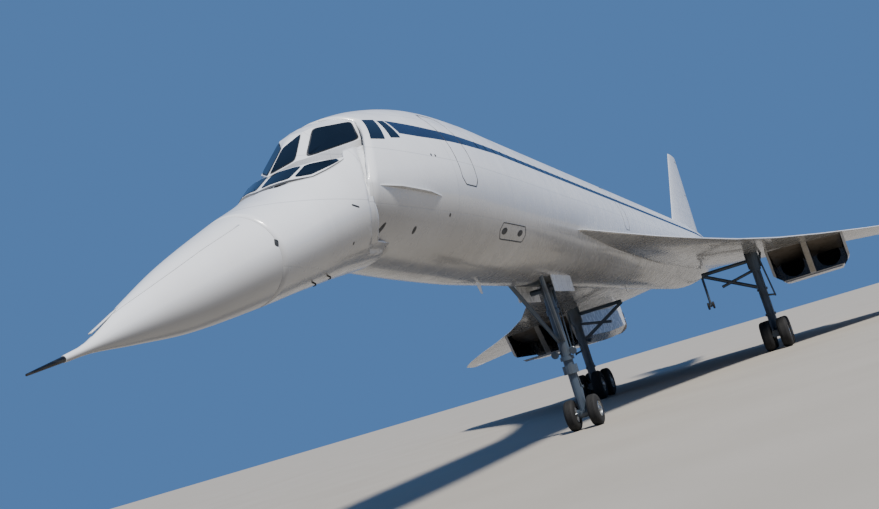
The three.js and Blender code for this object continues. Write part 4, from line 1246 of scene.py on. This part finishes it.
def camera():
    """A camera at the photograph's place: yaw from aft, pitch up, then rolled about its line of sight."""
    yaw, pitch, roll = (math.radians(CAMERA[k]) for k in ("yaw", "pitch", "roll"))
    ahead = np.array([-math.sin(yaw) * math.cos(pitch), math.cos(yaw) * math.cos(pitch), math.sin(pitch)])
    right = unit(np.cross(ahead, (0, 0, 1)))
    up = np.cross(right, ahead)
    turned_right = math.cos(roll) * right + math.sin(roll) * up
    turned_up = math.cos(roll) * up - math.sin(roll) * right
    data = bpy.data.cameras.new("camera")
    data.sensor_width = 36.0
    data.lens = CAMERA["focal"] / IMAGE_WIDTH * data.sensor_width
    data.clip_end = 1000.0
    thing = placed("camera", data)
    frame_of = np.eye(4)
    frame_of[:3, 0], frame_of[:3, 1], frame_of[:3, 2] = turned_right, turned_up, -ahead
    frame_of[:3, 3] = row(CAMERA["at"])
    thing.matrix_world = Matrix(frame_of.tolist())
    bpy.context.scene.camera = thing


def floor_and_lights():
    """A plain light grey floor, a blue sky and one wide sun-like lamp high on the left and ahead."""
    size = 400.0
    mesh = bpy.data.meshes.new("floor")
    corners = [(-size, -size, 0), (size, -size, 0), (size, size, 0), (-size, size, 0)]
    mesh.from_pydata(corners, [], [(0, 1, 2, 3)])
    floor = placed("floor", mesh)
    material, shader, place = finish("studio_floor", "#a09a8f", 0.9)
    grain = noise(place, 0.6, 4.0)
    tint(shader, blend(grain, "#a8a297", "#989287"))
    mesh.materials.append(material)
    world = bpy.data.worlds.new("studio")
    world.use_nodes = True
    back = world.node_tree.nodes["Background"]
    back.inputs[0].default_value = rgb("#6a9be0")
    back.inputs[1].default_value = 0.6
    bpy.context.scene.world = world
    sun = bpy.data.lights.new("sun", "SUN")
    sun.energy = 6.0
    sun.angle = math.radians(8)
    sun.color = (1.0, 0.96, 0.9)
    placed("sun", sun).rotation_euler = (math.radians(35), 0, math.radians(52))


class AIRLINER_PT_panel(bpy.types.Panel):
    """Lists the pieces and the settings"""
    bl_idname = "AIRLINER_PT_panel"
    bl_label = "Airliner"
    bl_space_type = "VIEW_3D"
    bl_region_type = "UI"
    bl_category = "Airliner"

    def draw(self, context):
        for name in ("body_colour", "glass_colour", "gear_colour"):
            self.layout.prop(context.scene.airliner_looks, name)
        self.layout.prop(context.scene.airliner_sizes, "skin")
        for operator in OPERATORS:
            self.layout.operator(operator.bl_idname)


OPERATORS = (AIRLINER_OT_finishes, AIRLINER_OT_body, AIRLINER_OT_wings, AIRLINER_OT_flight_deck,
             AIRLINER_OT_visor, AIRLINER_OT_fittings, AIRLINER_OT_wheels, AIRLINER_OT_gear,
             AIRLINER_OT_stage)
CLASSES = (AirlinerLooks, AirlinerSizes, *OPERATORS, AIRLINER_PT_panel)


def register():
    for kind in CLASSES:
        bpy.utils.register_class(kind)
    bpy.types.Scene.airliner_looks = bpy.props.PointerProperty(type=AirlinerLooks)
    bpy.types.Scene.airliner_sizes = bpy.props.PointerProperty(type=AirlinerSizes)


def unregister():
    del bpy.types.Scene.airliner_looks
    del bpy.types.Scene.airliner_sizes
    for kind in reversed(CLASSES):
        bpy.utils.unregister_class(kind)


def main():
    register()
    for operator in OPERATORS:
        group, name = operator.bl_idname.split(".")
        getattr(getattr(bpy.ops, group), name)()


if __name__ == "__main__":
    main()
